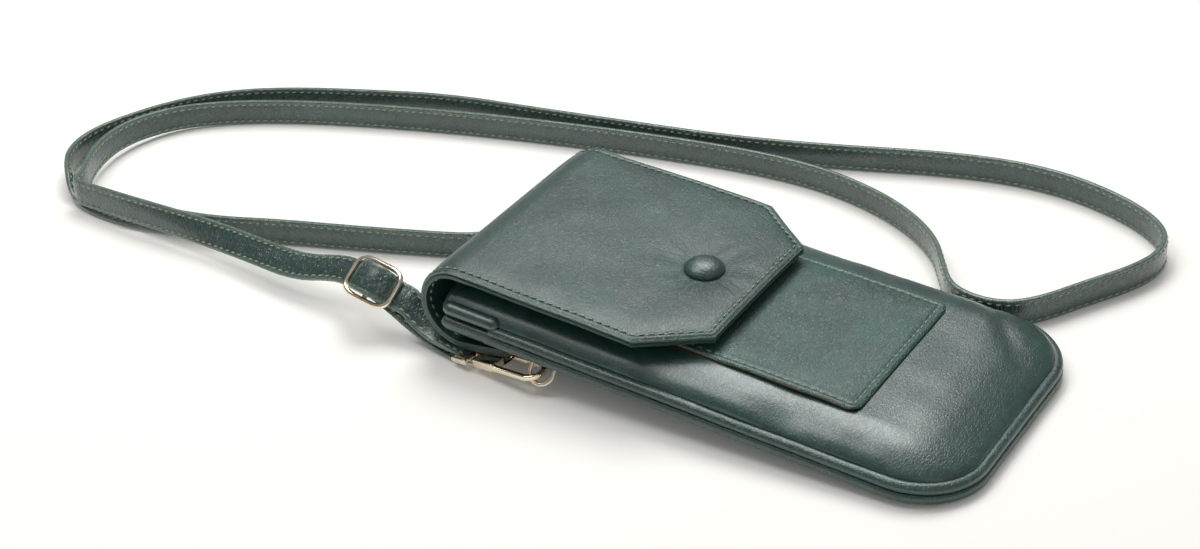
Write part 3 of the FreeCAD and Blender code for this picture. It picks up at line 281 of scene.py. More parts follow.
FAR_END = (
    (-117, 9, 5.4, 270), (-108, 17, 5.6, 270), (-103.5, 28, 5.9, 270), (-102, 40, 6.2, 270),
    (-101.3, 49, 6.5, 270), (-98.8, 55.5, 6.7, 270), (-95.25, 59.87, 7.1, 270), (-82.53, 57.17, 7.1, 270))
route = NEAR_RUN + tuple((x, y, LOOP_HIGH, ON_EDGE) for x, y in LONG_LOOP) + LEFT_END + FAR_END


def millimetres(*places):
    """Places given in millimetres, as vectors in metres."""
    return [Vector(place) / 1000 for place in places]


def smooth_line(points):
    """The points of a smooth spline that has the given points as its control points."""
    curve = bpy.data.curves.new("line", "CURVE")
    curve.dimensions = "3D"
    spline = curve.splines.new("NURBS")
    spline.points.add(len(points) - 1)
    for knot, point in zip(spline.points, points):
        knot.co = (*point, 1)
    spline.order_u = 3
    spline.use_endpoint_u = True
    spline.resolution_u = 10
    holder = bpy.data.objects.new("line", curve)
    scene.collection.objects.link(holder)
    bpy.context.view_layer.update()
    mesh = bpy.data.meshes.new_from_object(holder)
    line = [v.co.copy() for v in mesh.vertices]
    bpy.data.objects.remove(holder)
    bpy.data.curves.remove(curve)
    bpy.data.meshes.remove(mesh)
    return line


def way_along(line, i):
    """The way that a line of points goes at its point number i."""
    return line[min(i + 1, len(line) - 1)] - line[max(i - 1, 0)]


def roll_across(ahead, roll):
    """The way across a strap that goes ahead and is rolled by some degrees from lying flat."""
    flat = Vector((0, 0, 1)).cross(ahead).normalized()
    upward = ahead.normalized().cross(flat)
    return flat * math.cos(math.radians(roll)) + upward * math.sin(math.radians(roll))


def rolled_route(stations):
    """The middles of a strap's stations, and the same points moved to one edge of the strap."""
    middles = millimetres(*(station[:3] for station in stations))
    edges = []
    for i, station in enumerate(stations):
        edges.append(middles[i] + roll_across(way_along(middles, i), station[3]) * STRAP_HALF)
    return middles, edges


def distances(line):
    """How far along a line each of its points is."""
    reach = [0.0]
    for a, b in zip(line, line[1:]):
        reach.append(reach[-1] + (b - a).length)
    return reach


def signed_power(value, power):
    """A number raised to a power, with its own sign."""
    return math.copysign(abs(value) ** power, value)


def bell(away, wide):
    """1 in the middle, and falling to nothing a few times wide away from it."""
    return math.exp(-(away / wide) ** 2)


def strap_section(angle):
    """Across and out of the strap's face, for a turn round its section, and how far that is on its edge."""
    across = signed_power(math.cos(angle), EDGE_POWER)
    out = signed_power(math.sin(angle), FACE_POWER)
    from_seam = abs(across) - SEAM_SHARE
    groove = GROOVE * bell(from_seam, GROOVE_WIDE)
    return across, out * (FACE_SHARE - groove), min(1, max(0, from_seam / PAINT_WIDE))


def outward(form):
    """Turns a form's faces outwards."""
    bmesh.ops.recalc_face_normals(form, faces=form.faces)


def closed(form):
    """Joins the seam of a swept form, fills its ends and turns its faces outwards."""
    bmesh.ops.remove_doubles(form, verts=form.verts, dist=MERGE)
    bmesh.ops.holes_fill(form, edges=[e for e in form.edges if e.is_boundary])
    outward(form)
    return form


def strap_form(middles, acrosses, thick):
    """A flat strap swept along its middles and closed: acrosses go to its edge, thick is half of it."""
    form = bmesh.new()
    last = len(middles) - 1
    bmesh.ops.create_grid(form, x_segments=last, y_segments=STRAP_TURNS, size=0.5)
    edge = form.verts.layers.float.new("edge")
    unrolled = form.loops.layers.uv.new("UVMap")
    reach = distances(middles)
    for vert in form.verts:
        i = round((vert.co.x + 0.5) * last)
        angle = (vert.co.y + 0.5) * math.tau
        across, out, rim_share = strap_section(angle)
        face = way_along(middles, i).cross(acrosses[i].normalized()).normalized()
        vert.co = middles[i] + acrosses[i] * across + face * (out * thick[i])
        vert[edge] = rim_share
        round_it = 1 - across if angle <= math.pi else 3 + across
        for corner in vert.link_loops:
            corner[unrolled].uv = (reach[i], STRAP_HALF * round_it)
    return closed(form)


def stitch_row(form, line, outs):
    """A row of thread stitches along a line of points, half sunk in the face that looks out."""
    drop = bmesh.new()
    bmesh.ops.create_uvsphere(drop, u_segments=6, v_segments=5, radius=0.5)
    bead = bpy.data.meshes.new("stitch")
    drop.to_mesh(bead)
    drop.free()
    reach, wanted = 0.0, STITCH_PITCH / 2
    for a, b, out in zip(line, line[1:], outs):
        step = (b - a).length
        while wanted <= reach + step and step > 0:
            ahead = (b - a).normalized()
            ahead = (ahead + out.cross(ahead).normalized() * STITCH_LEAN).normalized()
            side = out.cross(ahead).normalized()
            axes = (ahead * STITCH_LONG, side * STITCH_THICK, ahead.cross(side) * STITCH_THICK)
            seat = Matrix(axes).transposed().to_4x4()
            seat.translation = a.lerp(b, (wanted - reach) / step)
            bead.transform(seat)
            form.from_mesh(bead)
            bead.transform(seat.inverted())
            wanted += STITCH_PITCH
        reach += step
    bpy.data.meshes.remove(bead)


def edge_stitches(middles, acrosses, thick):
    """The stitches on both faces of a strap, beside both of its edges."""
    form = bmesh.new()
    for edge in (-SEAM_SHARE, SEAM_SHARE):
        for face in (-1, 1):
            line, outs = [], []
            for i, middle in enumerate(middles):
                out = way_along(middles, i).cross(acrosses[i].normalized()).normalized() * face
                line.append(middle + acrosses[i] * edge + out * (thick[i] * STITCH_SUNK))
                outs.append(out)
            stitch_row(form, line, outs)
    return form


strap_hide = leather("strap_hide", 1.0, gloss=1.3, grain=3.2, lines=(1.3, 0.6, 1),
                     painted=True, unrolled=True)
thread, tree, shader = new_material("green_thread")
spot = tree.node("ShaderNodeTexCoord", {}, {}, OBJECT)
fibre = tree.node("ShaderNodeTexNoise", {}, {"Vector": spot, "Scale": 4000.0})
fibre.mix(THREAD_DARK, THREAD_LIGHT).feed(shader, "Base Color")
shader.inputs["Roughness"].default_value = 0.7


def sewn_strip(name, line, wide, thick, sewn=True):
    """A stretch of strap, and the thread that sews its two layers together."""
    made = piece(name, strap_form(line, wide, thick), strap_hide, sharp=STRAP_SHARP)
    if not sewn:
        return made, None
    rows = piece(name + "_thread", edge_stitches(line, wide, thick), thread)
    return made, rows


middles, edges = (smooth_line(points) for points in rolled_route(route))
middles.reverse()
edges.reverse()
acrosses = [e - m for m, e in zip(middles, edges)]
gone = distances(middles)
thick = [PARED + (STRAP_THICK - PARED) * min(1, far / PARED_LONG) for far in gone]
cut = next(i for i, far in enumerate(gone) if far > gone[-1] - SLACK)
slack_line, slack_wide = middles[:cut - 1:-1], acrosses[:cut - 1:-1]
strap_path = middles[:cut + 1]
strap, strap_thread = sewn_strip("strap", strap_path, acrosses[:cut + 1], thick[:cut + 1])
stand_in(strap, "pouch", "green_strap", "strap_near", "strap_loop", "strap_left", "strap_far")
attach(strap_thread, "pouch")


# Strap ends: at the far hook the strap is pared thin, goes round the eye's bar and is sewn back on itself.
# At the near hook it goes round the bar and back under itself to the slider, where its end is sewn round
# the centre bar. The run beside the slider shortens as the slider travels.
WRAP, WRAP_PAST, WRAP_DROP = 0.0016, 0.0017, 0.0004
FAR_BAR, FAR_UP = (-0.082864, 0.055606, 0.007082), (0.010243, -0.002177, 0.999945)
FAR_WAY, FAR_TAIL = (0.978094, -0.2079, -0.010472), ((0.0013, 0.006), (0.0003, 0.0128))
NEAR_BAR, NEAR_UP = (-0.083045, -0.043752, 0.002793), (-0.119054, 0.016097, 0.992757)
NEAR_WAY = (0.983806, -0.133016, 0.120137)
SLIDER_AT, SLIDER_TURNS = (-0.1228, -0.0404, 0.0168), ((-8, "Z"), (4, "Y"), (37, "X"))
HUMP = (
    (-14, 0, -3.85), (-8.6, 0, -2.6), (-5.4, 0, 3.2), (0, 0, 4.1), (5.4, 0, 3.2), (8.6, 0, -2.6),
    (14, 0, -2.25))
HUMP_WIDE = (1, 1, 1.14, 1.16, 1.14, 1, 1)
RUN_OUT, RUN_IN, LEAD_OUT, END_UNDER = 0.005, 0.012, 0.002, 0.0031
LEAD = ((-103.8, -41.4, 10.4), (-98, -41.9, 6.9), (-91.5, -42.8, 4.9))
BACK_RUN = (
    (-90, -42.5, 1.6), (-97, -41.6, 3.3), (-104.5, -40.8, 6.8), (-111.5, -40.3, 10.6), (-118, -39.4, 13.2))
LEAD_ROLLS, BACK_ROLLS, END_AHEAD = (31, 19, 4), (1, 9, 22, 31, 36), (1, -0.05, -0.3)
END_HALVES = (1.2, 1.2, 1.2, 1.1, 0.8, 0.5, 0.5, 0.5, 0.5, 0.7, 0.9, 1.1, 1.1, 0.7, 0.5)


def band_line(stops, acrosses):
    """The smooth middle line of a stretch of strap, and the way from it to one edge of the strap."""
    line = smooth_line(stops)
    sides = smooth_line([s + a * STRAP_HALF for s, a in zip(stops, acrosses)])
    return line, [s - m for m, s in zip(line, sides)]


def band(name, stops, acrosses, halves, sewn=True):
    """A stretch of strap along a smooth line, with its across direction and half thickness at each stop."""
    line, wide = band_line(stops, acrosses)
    thick = []
    for i in range(len(line)):
        spot = i / (len(line) - 1) * (len(stops) - 1)
        low = min(int(spot), len(stops) - 2)
        thick.append(halves[low] + (halves[low + 1] - halves[low]) * (spot - low))
    return sewn_strip(name, line, wide, thick, sewn)


def round_bar(bar, out, way):
    """Four stops round a bar, from one side of it to the other."""
    return [bar + out * WRAP, bar + out * WRAP + way * WRAP_PAST,
            bar - out * WRAP + way * WRAP_PAST, bar - out * WRAP]


far_bar, far_up, far_way = (Vector(v) for v in (FAR_BAR, FAR_UP, FAR_WAY))
far_out = far_up.cross(far_way)
tail_stops = round_bar(far_bar, far_out, far_way)
for out, past in FAR_TAIL:
    tail_stops.append(far_bar - far_out * out - far_way * past)
ends = len(tail_stops)
far_wrap = band("strap_far_end", tail_stops, [far_up] * ends, [PARED] * ends, sewn=False)[0]
stand_in(far_wrap, "pouch", "green_strap", "strap_end_loop_far", "strap_far_tail")

slider_seat = Matrix.Translation(SLIDER_AT)
for degrees, axis in SLIDER_TURNS:
    slider_seat = slider_seat @ Matrix.Rotation(math.radians(degrees), 4, axis)
slider_turn = slider_seat.to_3x3()
slider_across, slider_ahead = slider_turn @ Vector((0, 1, 0)), slider_turn @ Vector((1, 0, 0))
hump_stops = [slider_seat @ stop for stop in millimetres(*HUMP)]
hump_across = [slider_across * wide for wide in HUMP_WIDE]
hump = band("strap_hump_over_bar", hump_stops, hump_across, [STRAP_THICK] * len(HUMP), sewn=False)[0]
stand_in(hump, "slider", "green_strap", "strap_hump")

near_first, near_second = millimetres(*(station[:3] for station in NEAR_RUN[:2]))
near_ahead = (near_second - near_first).normalized()
run_ahead = (hump_stops[0] - hump_stops[1]).normalized()
run_stops = [hump_stops[0], hump_stops[0] + run_ahead * RUN_OUT,
             near_first - near_ahead * RUN_IN, near_first]
near_across = roll_across(near_second - near_first, NEAR_RUN[0][3])
run_across = -slider_across if slider_across.dot(near_across) < 0 else slider_across
run_line, run_wide = band_line(run_stops, [run_across, run_across, near_across, near_across])
run_line += slack_line[1:]
run_wide += slack_wide[1:]
run, run_thread = sewn_strip("strap_slide_run_sewn", run_line, run_wide, [STRAP_THICK] * len(run_line))
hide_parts("strap_slide_run")
for part in (run, run_thread):
    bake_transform(part)

near_bar, near_up, near_way = (Vector(v) for v in (NEAR_BAR, NEAR_UP, NEAR_WAY))
lead = [hump_stops[-1], hump_stops[-1] + slider_ahead * LEAD_OUT] + millimetres(*LEAD)
at_eye = round_bar(near_bar, near_up, near_way)
end_stops = lead + at_eye + millimetres(*BACK_RUN) + [slider_seat @ Vector((0, 0, -END_UNDER))]
lead_across, back_across = ([roll_across(Vector(END_AHEAD), roll) for roll in rolls]
                            for rolls in (LEAD_ROLLS, BACK_ROLLS))
eye_across = [near_up.cross(near_way)] * len(at_eye)
end_across = [slider_across] * 2 + lead_across + eye_across + back_across + [slider_across]
end_halves = [half / 1000 for half in END_HALVES]
near_end, near_thread = band("strap_near_end", end_stops, end_across, end_halves)
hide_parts("strap_lead", "strap_return", "strap_end_loop_near")
for part in (near_end, near_thread):
    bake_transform(part)


def draw_out(form, grown, way):
    """Moves the vertices that an extrusion has made."""
    fresh = [v for v in grown["geom"] if isinstance(v, bmesh.types.BMVert)]
    bmesh.ops.translate(form, vec=way, verts=fresh)


def thicken(form, thick):
    """Gives a sheet its thickness."""
    bmesh.ops.solidify(form, geom=form.faces[:], thickness=thick)


wrap_form = bmesh.new()
bmesh.ops.create_circle(wrap_form, segments=24, radius=WRAP, matrix=Matrix.Rotation(math.pi / 2, 4, "X"))
for vert in wrap_form.verts:
    vert.co.y -= STRAP_HALF
grown = bmesh.ops.extrude_edge_only(wrap_form, edges=wrap_form.edges[:])
draw_out(wrap_form, grown, (0, 2 * STRAP_HALF, 0))
outward(wrap_form)
thicken(wrap_form, PARED)
wrap_seat = slider_seat @ Matrix.Translation((0, 0, -WRAP_DROP))
bmesh.ops.transform(wrap_form, matrix=wrap_seat, verts=wrap_form.verts)
bar_wrap = piece("strap_round_slider_bar", wrap_form, strap_hide)
stand_in(bar_wrap, "slider", "green_strap", "return_loop")


# Back: one lined sheet of hide with turned edges, round at the bottom. The pouch is drawn in its own plane,
# with X along it from the mouth to the bottom end at 0 and Z up from its back, and then laid on the ground,
# tipped up a little.
LONG, HALF, CORNER = 0.185, 0.05, 0.024
RIM_LENGTH = 2 * (LONG - CORNER) + math.pi * CORNER + 2 * (HALF - CORNER)
OUTLINE_STEPS, BACK_SHARP = 120, 50
BOTTOM_X, TIPPED_UP = 0.0980958, 4.3
lie = Matrix.Translation((BOTTOM_X, 0, 0)) @ Matrix.Rotation(math.radians(TIPPED_UP), 4, "Y")
pouch_hide = leather("pouch_hide", 1.0, gloss=0.75)


def rim(share, inset):
    """A place on the outline drawn in by inset. share runs from the mouth's near end round the bottom."""
    side = -1 if share <= 0.5 else 1
    straight, arc, across = LONG - CORNER, CORNER * math.pi / 2, HALF - CORNER
    reach = min(share, 1 - share) * RIM_LENGTH
    round_at = max(CORNER, inset)
    if reach < straight:
        x, y = -LONG + (LONG - round_at) * reach / straight, HALF - inset
    elif reach < straight + arc:
        angle = (reach - straight) / CORNER
        x = -round_at + (round_at - inset) * math.sin(angle)
        y = HALF - round_at + (round_at - inset) * math.cos(angle)
    else:
        x, y = -inset, (HALF - round_at) * (1 - min(1, (reach - straight - arc) / across))
    return x, side * y


def lay(form):
    """Lays a form that is drawn in the pouch's own plane on the ground."""
    bmesh.ops.transform(form, matrix=lie, verts=form.verts)
    return form


def soften(form, edges, soft):
    """Rounds some edges of a form."""
    bmesh.ops.bevel(form, geom=edges, offset=soft, segments=3, profile=0.5, affect="EDGES", material=-1)


def slab(inset, low, high, soft):
    """A sheet with the pouch's outline and softened edges."""
    form = bmesh.new()
    shares = [i / OUTLINE_STEPS for i in range(OUTLINE_STEPS + 1)]
    outline = [form.verts.new((*rim(share, inset), low)) for share in shares]
    grown = bmesh.ops.extrude_face_region(form, geom=[form.faces.new(outline)])
    draw_out(form, grown, (0, 0, high - low))
    outward(form)
    soften(form, [e for e in form.edges if abs(e.verts[0].co.z - e.verts[1].co.z) < MERGE], soft)
    return form


back_form = slab(inset=0.0008, low=0.0, high=0.0017, soft=0.0006)
back_sheet = piece("back_sheet", lay(back_form), pouch_hide, sharp=BACK_SHARP)
stand_in(back_sheet, "pouch", "green_leather", "back_panel")
lining_hide = leather("lining_hide", 1.1, gloss=0.2, grain=0.6)
lining_form = slab(inset=0.0074, low=0.0016, high=0.0022, soft=0.0001)
back_inside = piece("back_inside", lay(lining_form), lining_hide)
stand_in(back_inside, "pouch", "green_lining", "back_lining")


# Piping: a thin cord covered in hide and sewn between the front and the rolled edge of the back, all round
# but for the mouth. There the edges of front and back are turned in by themselves, as two lips on each side.
SLIT, PAST = 0.018 / RIM_LENGTH, 0.002 / RIM_LENGTH
LIP_OVER, BACK_OVER = 0.004, 0.008
ROLL_TURNS, ROLL_TIP, LUMPS, SWAY = 18, 0.03, 0.04, 0.00018


def roll(form, first, last, inset, high, wide, tall, steps, square=1.0):
    """A rolled edge along the outline from one share of it to another, closed and rounded at both ends."""
    part = bmesh.new()
    bmesh.ops.create_grid(part, x_segments=steps, y_segments=ROLL_TURNS, size=0.5)
    for vert in part.verts:
        along = vert.co.x + 0.5
        share = first + along * (last - first)
        angle = (vert.co.y + 0.5) * math.tau
        from_end = min(along, 1 - along) * abs(last - first) * RIM_LENGTH
        full = math.sqrt(max(0, 1 - max(0, 1 - from_end / wide) ** 2)) * (1 - ROLL_TIP) + ROLL_TIP
        fat = full * (1 + LUMPS * noise.noise(Vector((share * 70, inset * 900, high * 500))))
        sway = SWAY * noise.noise(Vector((share * 22, 4.2, high * 300)))
        over, up = (signed_power(v, square) for v in (math.cos(angle), math.sin(angle)))
        vert.co = (*rim(share, inset - over * wide * fat), high + sway + up * tall * fat)
    rolled = bpy.data.meshes.new("roll")
    closed(part).to_mesh(rolled)
    part.free()
    form.from_mesh(rolled)
    bpy.data.meshes.remove(rolled)


roll_form = bmesh.new()
roll(roll_form, SLIT - BACK_OVER, 1 - SLIT + BACK_OVER, inset=0.0019, high=0.0018, wide=0.0019, tall=0.00175,
     steps=260, square=0.72)
roll(roll_form, SLIT - LIP_OVER, 1 - SLIT + LIP_OVER, inset=0.0023, high=0.0049, wide=0.0020, tall=0.0018,
     steps=240)
for start, stop in ((-PAST, SLIT + LIP_OVER), (1 - SLIT - LIP_OVER, 1 + PAST)):
    roll(roll_form, start, stop, inset=0.0024, high=0.0025, wide=0.0023, tall=0.0022, steps=24, square=0.9)
piping = piece("piping_roll", lay(roll_form), pouch_hide)
stand_in(piping, "pouch", "green_leather", "piping")


# Front: soft hide drawn over the pouch like a low cushion, sewn into the piping at its foot and open at the
# mouth. Its top is nearly flat and falls away at the bottom end, with the hollows and creases of soft hide.
FRONT_FOOT, FRONT_WAIST, FRONT_TOP, SHOULDER = 0.003, 0.0066, 0.0136, 0.0145
FRONT_THICK, LINING_DEEP, FRONT_MERGE, LIP_LONG = 0.0013, 0.0015, 0.00002, 1.15
TUCK, TUCK_HIGH, HEM, HEM_HIGH = 0.0018, 0.003, 0.0011, 0.0044
SHOULDER_STEPS, TOP_STEPS, UNDERCUT, OVER_POWER, UP_POWER = 14, 24, 0.15, 1.2, 1.1
MOUTH_LONG, MOUTH_HIGH, MOUTH_SLOPE = 0.0185, 0.0058, 0.02
HELD_HIGH, FREE_HIGH, FALL, FALL_HIGH, FALL_FROM, FALL_TO = 0.005, 0.010, 0.3, 0.0075, -0.03, -0.005
SWELLS = ((28, 1.7, 0.00045), (75, 5.1, 0.00016))
DENTS = (
    (1.0, -0.06, -0.35, -0.042, 0.009, -0.043, 0.012),
    (0.6, -0.103, 0.2, -0.042, 0.009, -0.044, 0.007),
    (0.8, -0.024, -0.8, 0.035, 0.0045, 0.034, 0.013))
DENT_IN, DENT_DOWN, NUDGE = 0.0008, 0.0009, 0.001


def swell(x, y):
    """How far the soft hide stands out of its drawn shape."""
    return sum(noise.noise(Vector((x * often, y * often, layer))) * high for often, layer, high in SWELLS)


def ease(value, low, high):
    """0 below low, 1 above high and smooth between."""
    share = min(1, max(0, (value - low) / (high - low)))
    return share * share * (3 - 2 * share)


def tray(steps, depth, soft):
    """The front's cushion, drawn in by depth from its outer face."""
    first = FRONT_FOOT + SHOULDER
    profile = [(FRONT_FOOT + TUCK + depth, TUCK_HIGH), (FRONT_FOOT + HEM + depth, HEM_HIGH)]
    for i in range(SHOULDER_STEPS + 1):
        angle = math.pi / 2 * (i / SHOULDER_STEPS * (1 + UNDERCUT) - UNDERCUT)
        over, up = math.cos(angle) ** OVER_POWER, signed_power(math.sin(angle), UP_POWER)
        profile.append((first - (SHOULDER - depth) * over,
                        FRONT_WAIST + (FRONT_TOP - FRONT_WAIST - depth) * up))
    for i in range(1, TOP_STEPS + 1):
        profile.append((first + (HALF - first) * i / TOP_STEPS, FRONT_TOP - depth))
    form = bmesh.new()
    last = len(profile) - 1
    bmesh.ops.create_grid(form, x_segments=steps, y_segments=last, size=0.5)
    for vert in form.verts:
        share = (vert.co.x + 0.5) * (1 + 2 * PAST) - PAST
        inset, high = profile[round((vert.co.y + 0.5) * last)]
        x, y = rim(share, inset)
        if x < MOUTH_LONG - LONG:
            high = max(high, MOUTH_HIGH + MOUTH_SLOPE * max(0, FRONT_FOOT + TUCK - inset))
        free = ease(high, HELD_HIGH, FREE_HIGH) * soft
        high -= (high - HELD_HIGH) * FALL * ease(x, FALL_FROM, FALL_TO) * ease(high, HELD_HIGH, FALL_HIGH)
        dent = sum(deep * bell(x - at - lean * (y - pivot), wide) * bell(y - middle, long)
                   for deep, at, lean, pivot, wide, middle, long in DENTS)
        push = free * (swell(x * 1.3, y + high) * 1.4 - DENT_IN * dent)
        vert.co = (x, y, high + free * swell(x, y) - free * DENT_DOWN * dent)
        if inset < first:
            outer = rim(share, inset - NUDGE)
            vert.co += Vector((outer[0] - x, outer[1] - y, 0)) * (push / NUDGE)
    bmesh.ops.remove_doubles(form, verts=form.verts, dist=FRONT_MERGE)
    outward(form)
    return form


def face_up(form, sign=1):
    """Turns a sheet over if its faces look down, or up where sign is -1."""
    if sum(f.normal.z for f in form.faces) * sign < 0:
        bmesh.ops.reverse_faces(form, faces=form.faces)


front_hide = leather("front_hide", 1.0, gloss=1.0, grain=0.5, lines=(1.5, 0.8, 0.8))
front_form = tray(steps=340, depth=0.0, soft=1.0)
face_up(front_form)
thicken(front_form, FRONT_THICK)
for start, stop in ((-PAST, SLIT * LIP_LONG), (1 - SLIT * LIP_LONG, 1 + PAST)):
    roll(front_form, start, stop, inset=0.0037, high=0.0071, wide=0.0029, tall=0.0024, steps=24)
front = piece("front_cushion", lay(front_form), front_hide)
stand_in(front, "pouch", "green_leather", "front_panel")
inside = piece("front_inside", lay(tray(steps=150, depth=LINING_DEEP, soft=0.0)), lining_hide)
stand_in(inside, "pouch", "green_lining", "front_lining")


# Card pocket: a patch of the same hide on the front, with turned edges sewn down on three sides and left
# open under the flap. The raw edge underneath shows brown along the near side.
POCKET_X, POCKET_Y, POCKET_Z, POCKET_ROUND = (-0.1278, -0.0418), (-0.03325, 0.03325), 0.0148, 0.004
POCKET_SEAM, POCKET_THICK, POCKET_LIFT, LIFT_WIDE, RIM_WIDE = 0.0024, 0.0015, 0.0005, 0.004, 0.0004
POCKET_STEPS, POCKET_MARGIN, FINE_STEPS = (30, 24), 0.0054, 9
TURNED, TURNED_WIDE, DIP, DIP_WIDE, PUFF, PUFF_WIDE = 0.0007, 0.0007, 0.00034, 0.0006, 0.0004, 0.004
RAW_DARK, RAW_LIGHT, RAW_GREEN = (0.125, 0.063, 0.038, 1), (0.325, 0.175, 0.106, 1), (0.025, 0.056, 0.045, 1)
SEAM_STEP, THREAD_OUT = 0.002, 0.00012


def spread(count, low, high, margin):
    """Places from low to high, close together within margin of both ends."""
    near = [low + margin * i / FINE_STEPS for i in range(FINE_STEPS)]
    middle = [low + margin + (high - low - 2 * margin) * i / count for i in range(count)]
    far = [high - margin * i / FINE_STEPS for i in range(FINE_STEPS)][::-1]
    return near + middle + [high - margin] + far


def sewn_profile(inset, seam):
    """How the face of a turned and sewn edge rises and falls with the distance from its edge."""
    edge = -TURNED * bell(inset, TURNED_WIDE)
    groove = -DIP * bell(inset - seam, DIP_WIDE)
    full = PUFF * (1 - bell(max(0, inset - seam), PUFF_WIDE))
    return edge + groove + full


def pocket_inset(x, y):
    """The distance from a place on the card pocket to its nearest sewn edge."""
    return min(POCKET_X[1] - x, y - POCKET_Y[0], POCKET_Y[1] - y)


def pocket_rise(x, y):
    """The height of the card pocket's face, which lifts a little along its near edge."""
    lift = POCKET_LIFT * bell(y - POCKET_Y[0], LIFT_WIDE) * (1 + noise.noise(Vector((x * 60, 2.0, 0))))
    return POCKET_Z + sewn_profile(max(0, pocket_inset(x, y)), POCKET_SEAM) + swell(x, y) + lift


pocket_form = bmesh.new()
edge = pocket_form.verts.layers.float.new("edge")
xs, ys = (spread(count, *ends, POCKET_MARGIN) for count, ends in zip(POCKET_STEPS, (POCKET_X, POCKET_Y)))
bmesh.ops.create_grid(pocket_form, x_segments=len(xs) - 1, y_segments=len(ys) - 1, size=0.5)
for vert in pocket_form.verts:
    x = xs[round((vert.co.x + 0.5) * (len(xs) - 1))]
    y = ys[round((vert.co.y + 0.5) * (len(ys) - 1))]
    high = pocket_rise(x, y)
    vert[edge] = float(pocket_inset(x, y) < RIM_WIDE)
    corner = Vector((max(0, x - POCKET_X[1] + POCKET_ROUND), max(0, abs(y) - POCKET_Y[1] + POCKET_ROUND)))
    if corner.length > POCKET_ROUND:
        pull = corner.length - POCKET_ROUND
        x -= corner.normalized().x * pull
        y -= math.copysign(corner.normalized().y * pull, y)
    vert.co = (x, y, high)
outward(pocket_form)
face_up(pocket_form)
raw, tree, shader = new_material("raw_edge")
spot = tree.node("ShaderNodeTexCoord", {}, {}, OBJECT)
fleck = tree.node("ShaderNodeTexNoise", {}, {"Vector": spot, "Scale": 90.0, "Detail": 3.0})
beside = tree.node("ShaderNodeSeparateXYZ", {}, {"Vector": spot}, 1)
brown = fleck.between(0.3, 0.6).mix(RAW_DARK, RAW_LIGHT)
(beside * -1).between(0.030, 0.0325).mix(RAW_GREEN, brown).feed(shader, "Base Color")
shader.inputs["Roughness"].default_value = 0.8
pocket_hide = leather("pocket_hide", 1.3, gloss=0.4, grain=1.8, painted=True)
pocket = piece("card_pocket_patch", lay(pocket_form), pocket_hide, raw)
wall = pocket.modifiers.new("thickness", "SOLIDIFY")
wall.thickness = POCKET_THICK
wall.offset = -1
wall.material_offset_rim = 1
stand_in(pocket, "pouch", "green_leather", "card_pocket")


def seam_line(points, height):
    """A line of places on a sewn face, close together, with the way out of the face."""
    line = []
    for a, b in zip(points, points[1:]):
        steps = max(2, int((Vector(b) - Vector(a)).length / SEAM_STEP))
        line += [Vector(a).lerp(Vector(b), i / steps) for i in range(steps)]
    line.append(Vector(points[-1]))
    outs = [lie.to_3x3() @ Vector((0, 0, 1))] * len(line)
    return [lie @ Vector((p.x, p.y, height(p.x, p.y))) for p in line], outs


pocket_sewing = bmesh.new()
seam_x, seam_y = POCKET_X[1] - POCKET_SEAM, POCKET_Y[1] - POCKET_SEAM
corners = [(POCKET_X[0], -seam_y), (seam_x, -seam_y), (seam_x, seam_y), (POCKET_X[0], seam_y)]
stitch_row(pocket_sewing, *seam_line(corners, lambda x, y: pocket_rise(x, y) + THREAD_OUT))
pocket_thread = piece("card_pocket_thread", pocket_sewing, thread)
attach(pocket_thread, "pouch")


# Flap: hide and lining sewn together round the edge, with the corners cut off. It comes from the back, round
# the mouth end in one wide fold, and lies over the front, where the snap pulls it down a little.
FOLD_X, FOLD_Z, FOLD_R, FOLD_STEPS, FOLD_TOP = -0.1825, 0.0063, 0.015, 30, 0.015
FLAP_HALF, CUT_X, TIP_X, TIP_HALF = 0.046, -0.1147, -0.0936, 0.02975
FLAP_STEPS, FLAP_MARGIN, SIDE_STEPS, SIDE_MARGIN = 40, 0.0056, 28, 0.12
FLAP_SEAM, FLAP_THICK, UNDER_DROP, UNDER_THICK, FLAP_SHARP = 0.0026, 0.0014, 0.0016, 0.0012, 60
SNAP_X, SNAP_PULL, SNAP_REACH, SPOKES, SPOKES_WIDE = -0.1148, 0.0011, 0.012, 0.0002, 0.006
SAG, SAG_FROM, SAG_LONG = 0.0008, -0.125, 0.03
FLAP_THREAD_OUT, FOLD_SEAMS = 0.0003, ((FOLD_R - 0.0001, 1), (FOLD_R - 0.0029, -1))
cut_way = Vector((TIP_X - CUT_X, TIP_HALF - FLAP_HALF)).normalized()


def flap_inset(x, y):
    """The distance from a place on the flap to its nearest edge."""
    slant = Vector((x - CUT_X, abs(y) - FLAP_HALF)).cross(cut_way)
    return min(FLAP_HALF - abs(y), TIP_X - x, slant if x > CUT_X - 0.02 else 1)


def flap_rise(x, y):
    """How the flap's face stands out of its plane: sewn edge, soft hollows and the pull of the snap."""
    far = Vector((x - SNAP_X, y)).length
    turn = math.atan2(y, x - SNAP_X)
    spokes = 0.7 * math.sin(9 * turn + 1.1) + noise.noise(Vector((turn * 5, far * 90, 3.0)))
    spokes *= SPOKES * bell(far - SNAP_REACH, SPOKES_WIDE)
    pull = -SNAP_PULL * bell(far, SNAP_REACH)
    sag = -SAG * max(0, (x - SAG_FROM) / SAG_LONG) * (abs(y) / FLAP_HALF) ** 2
    edge = sewn_profile(max(0, flap_inset(x, y)), FLAP_SEAM)
    return edge + pull + spokes + sag + 1.2 * swell(x + 0.3, y)


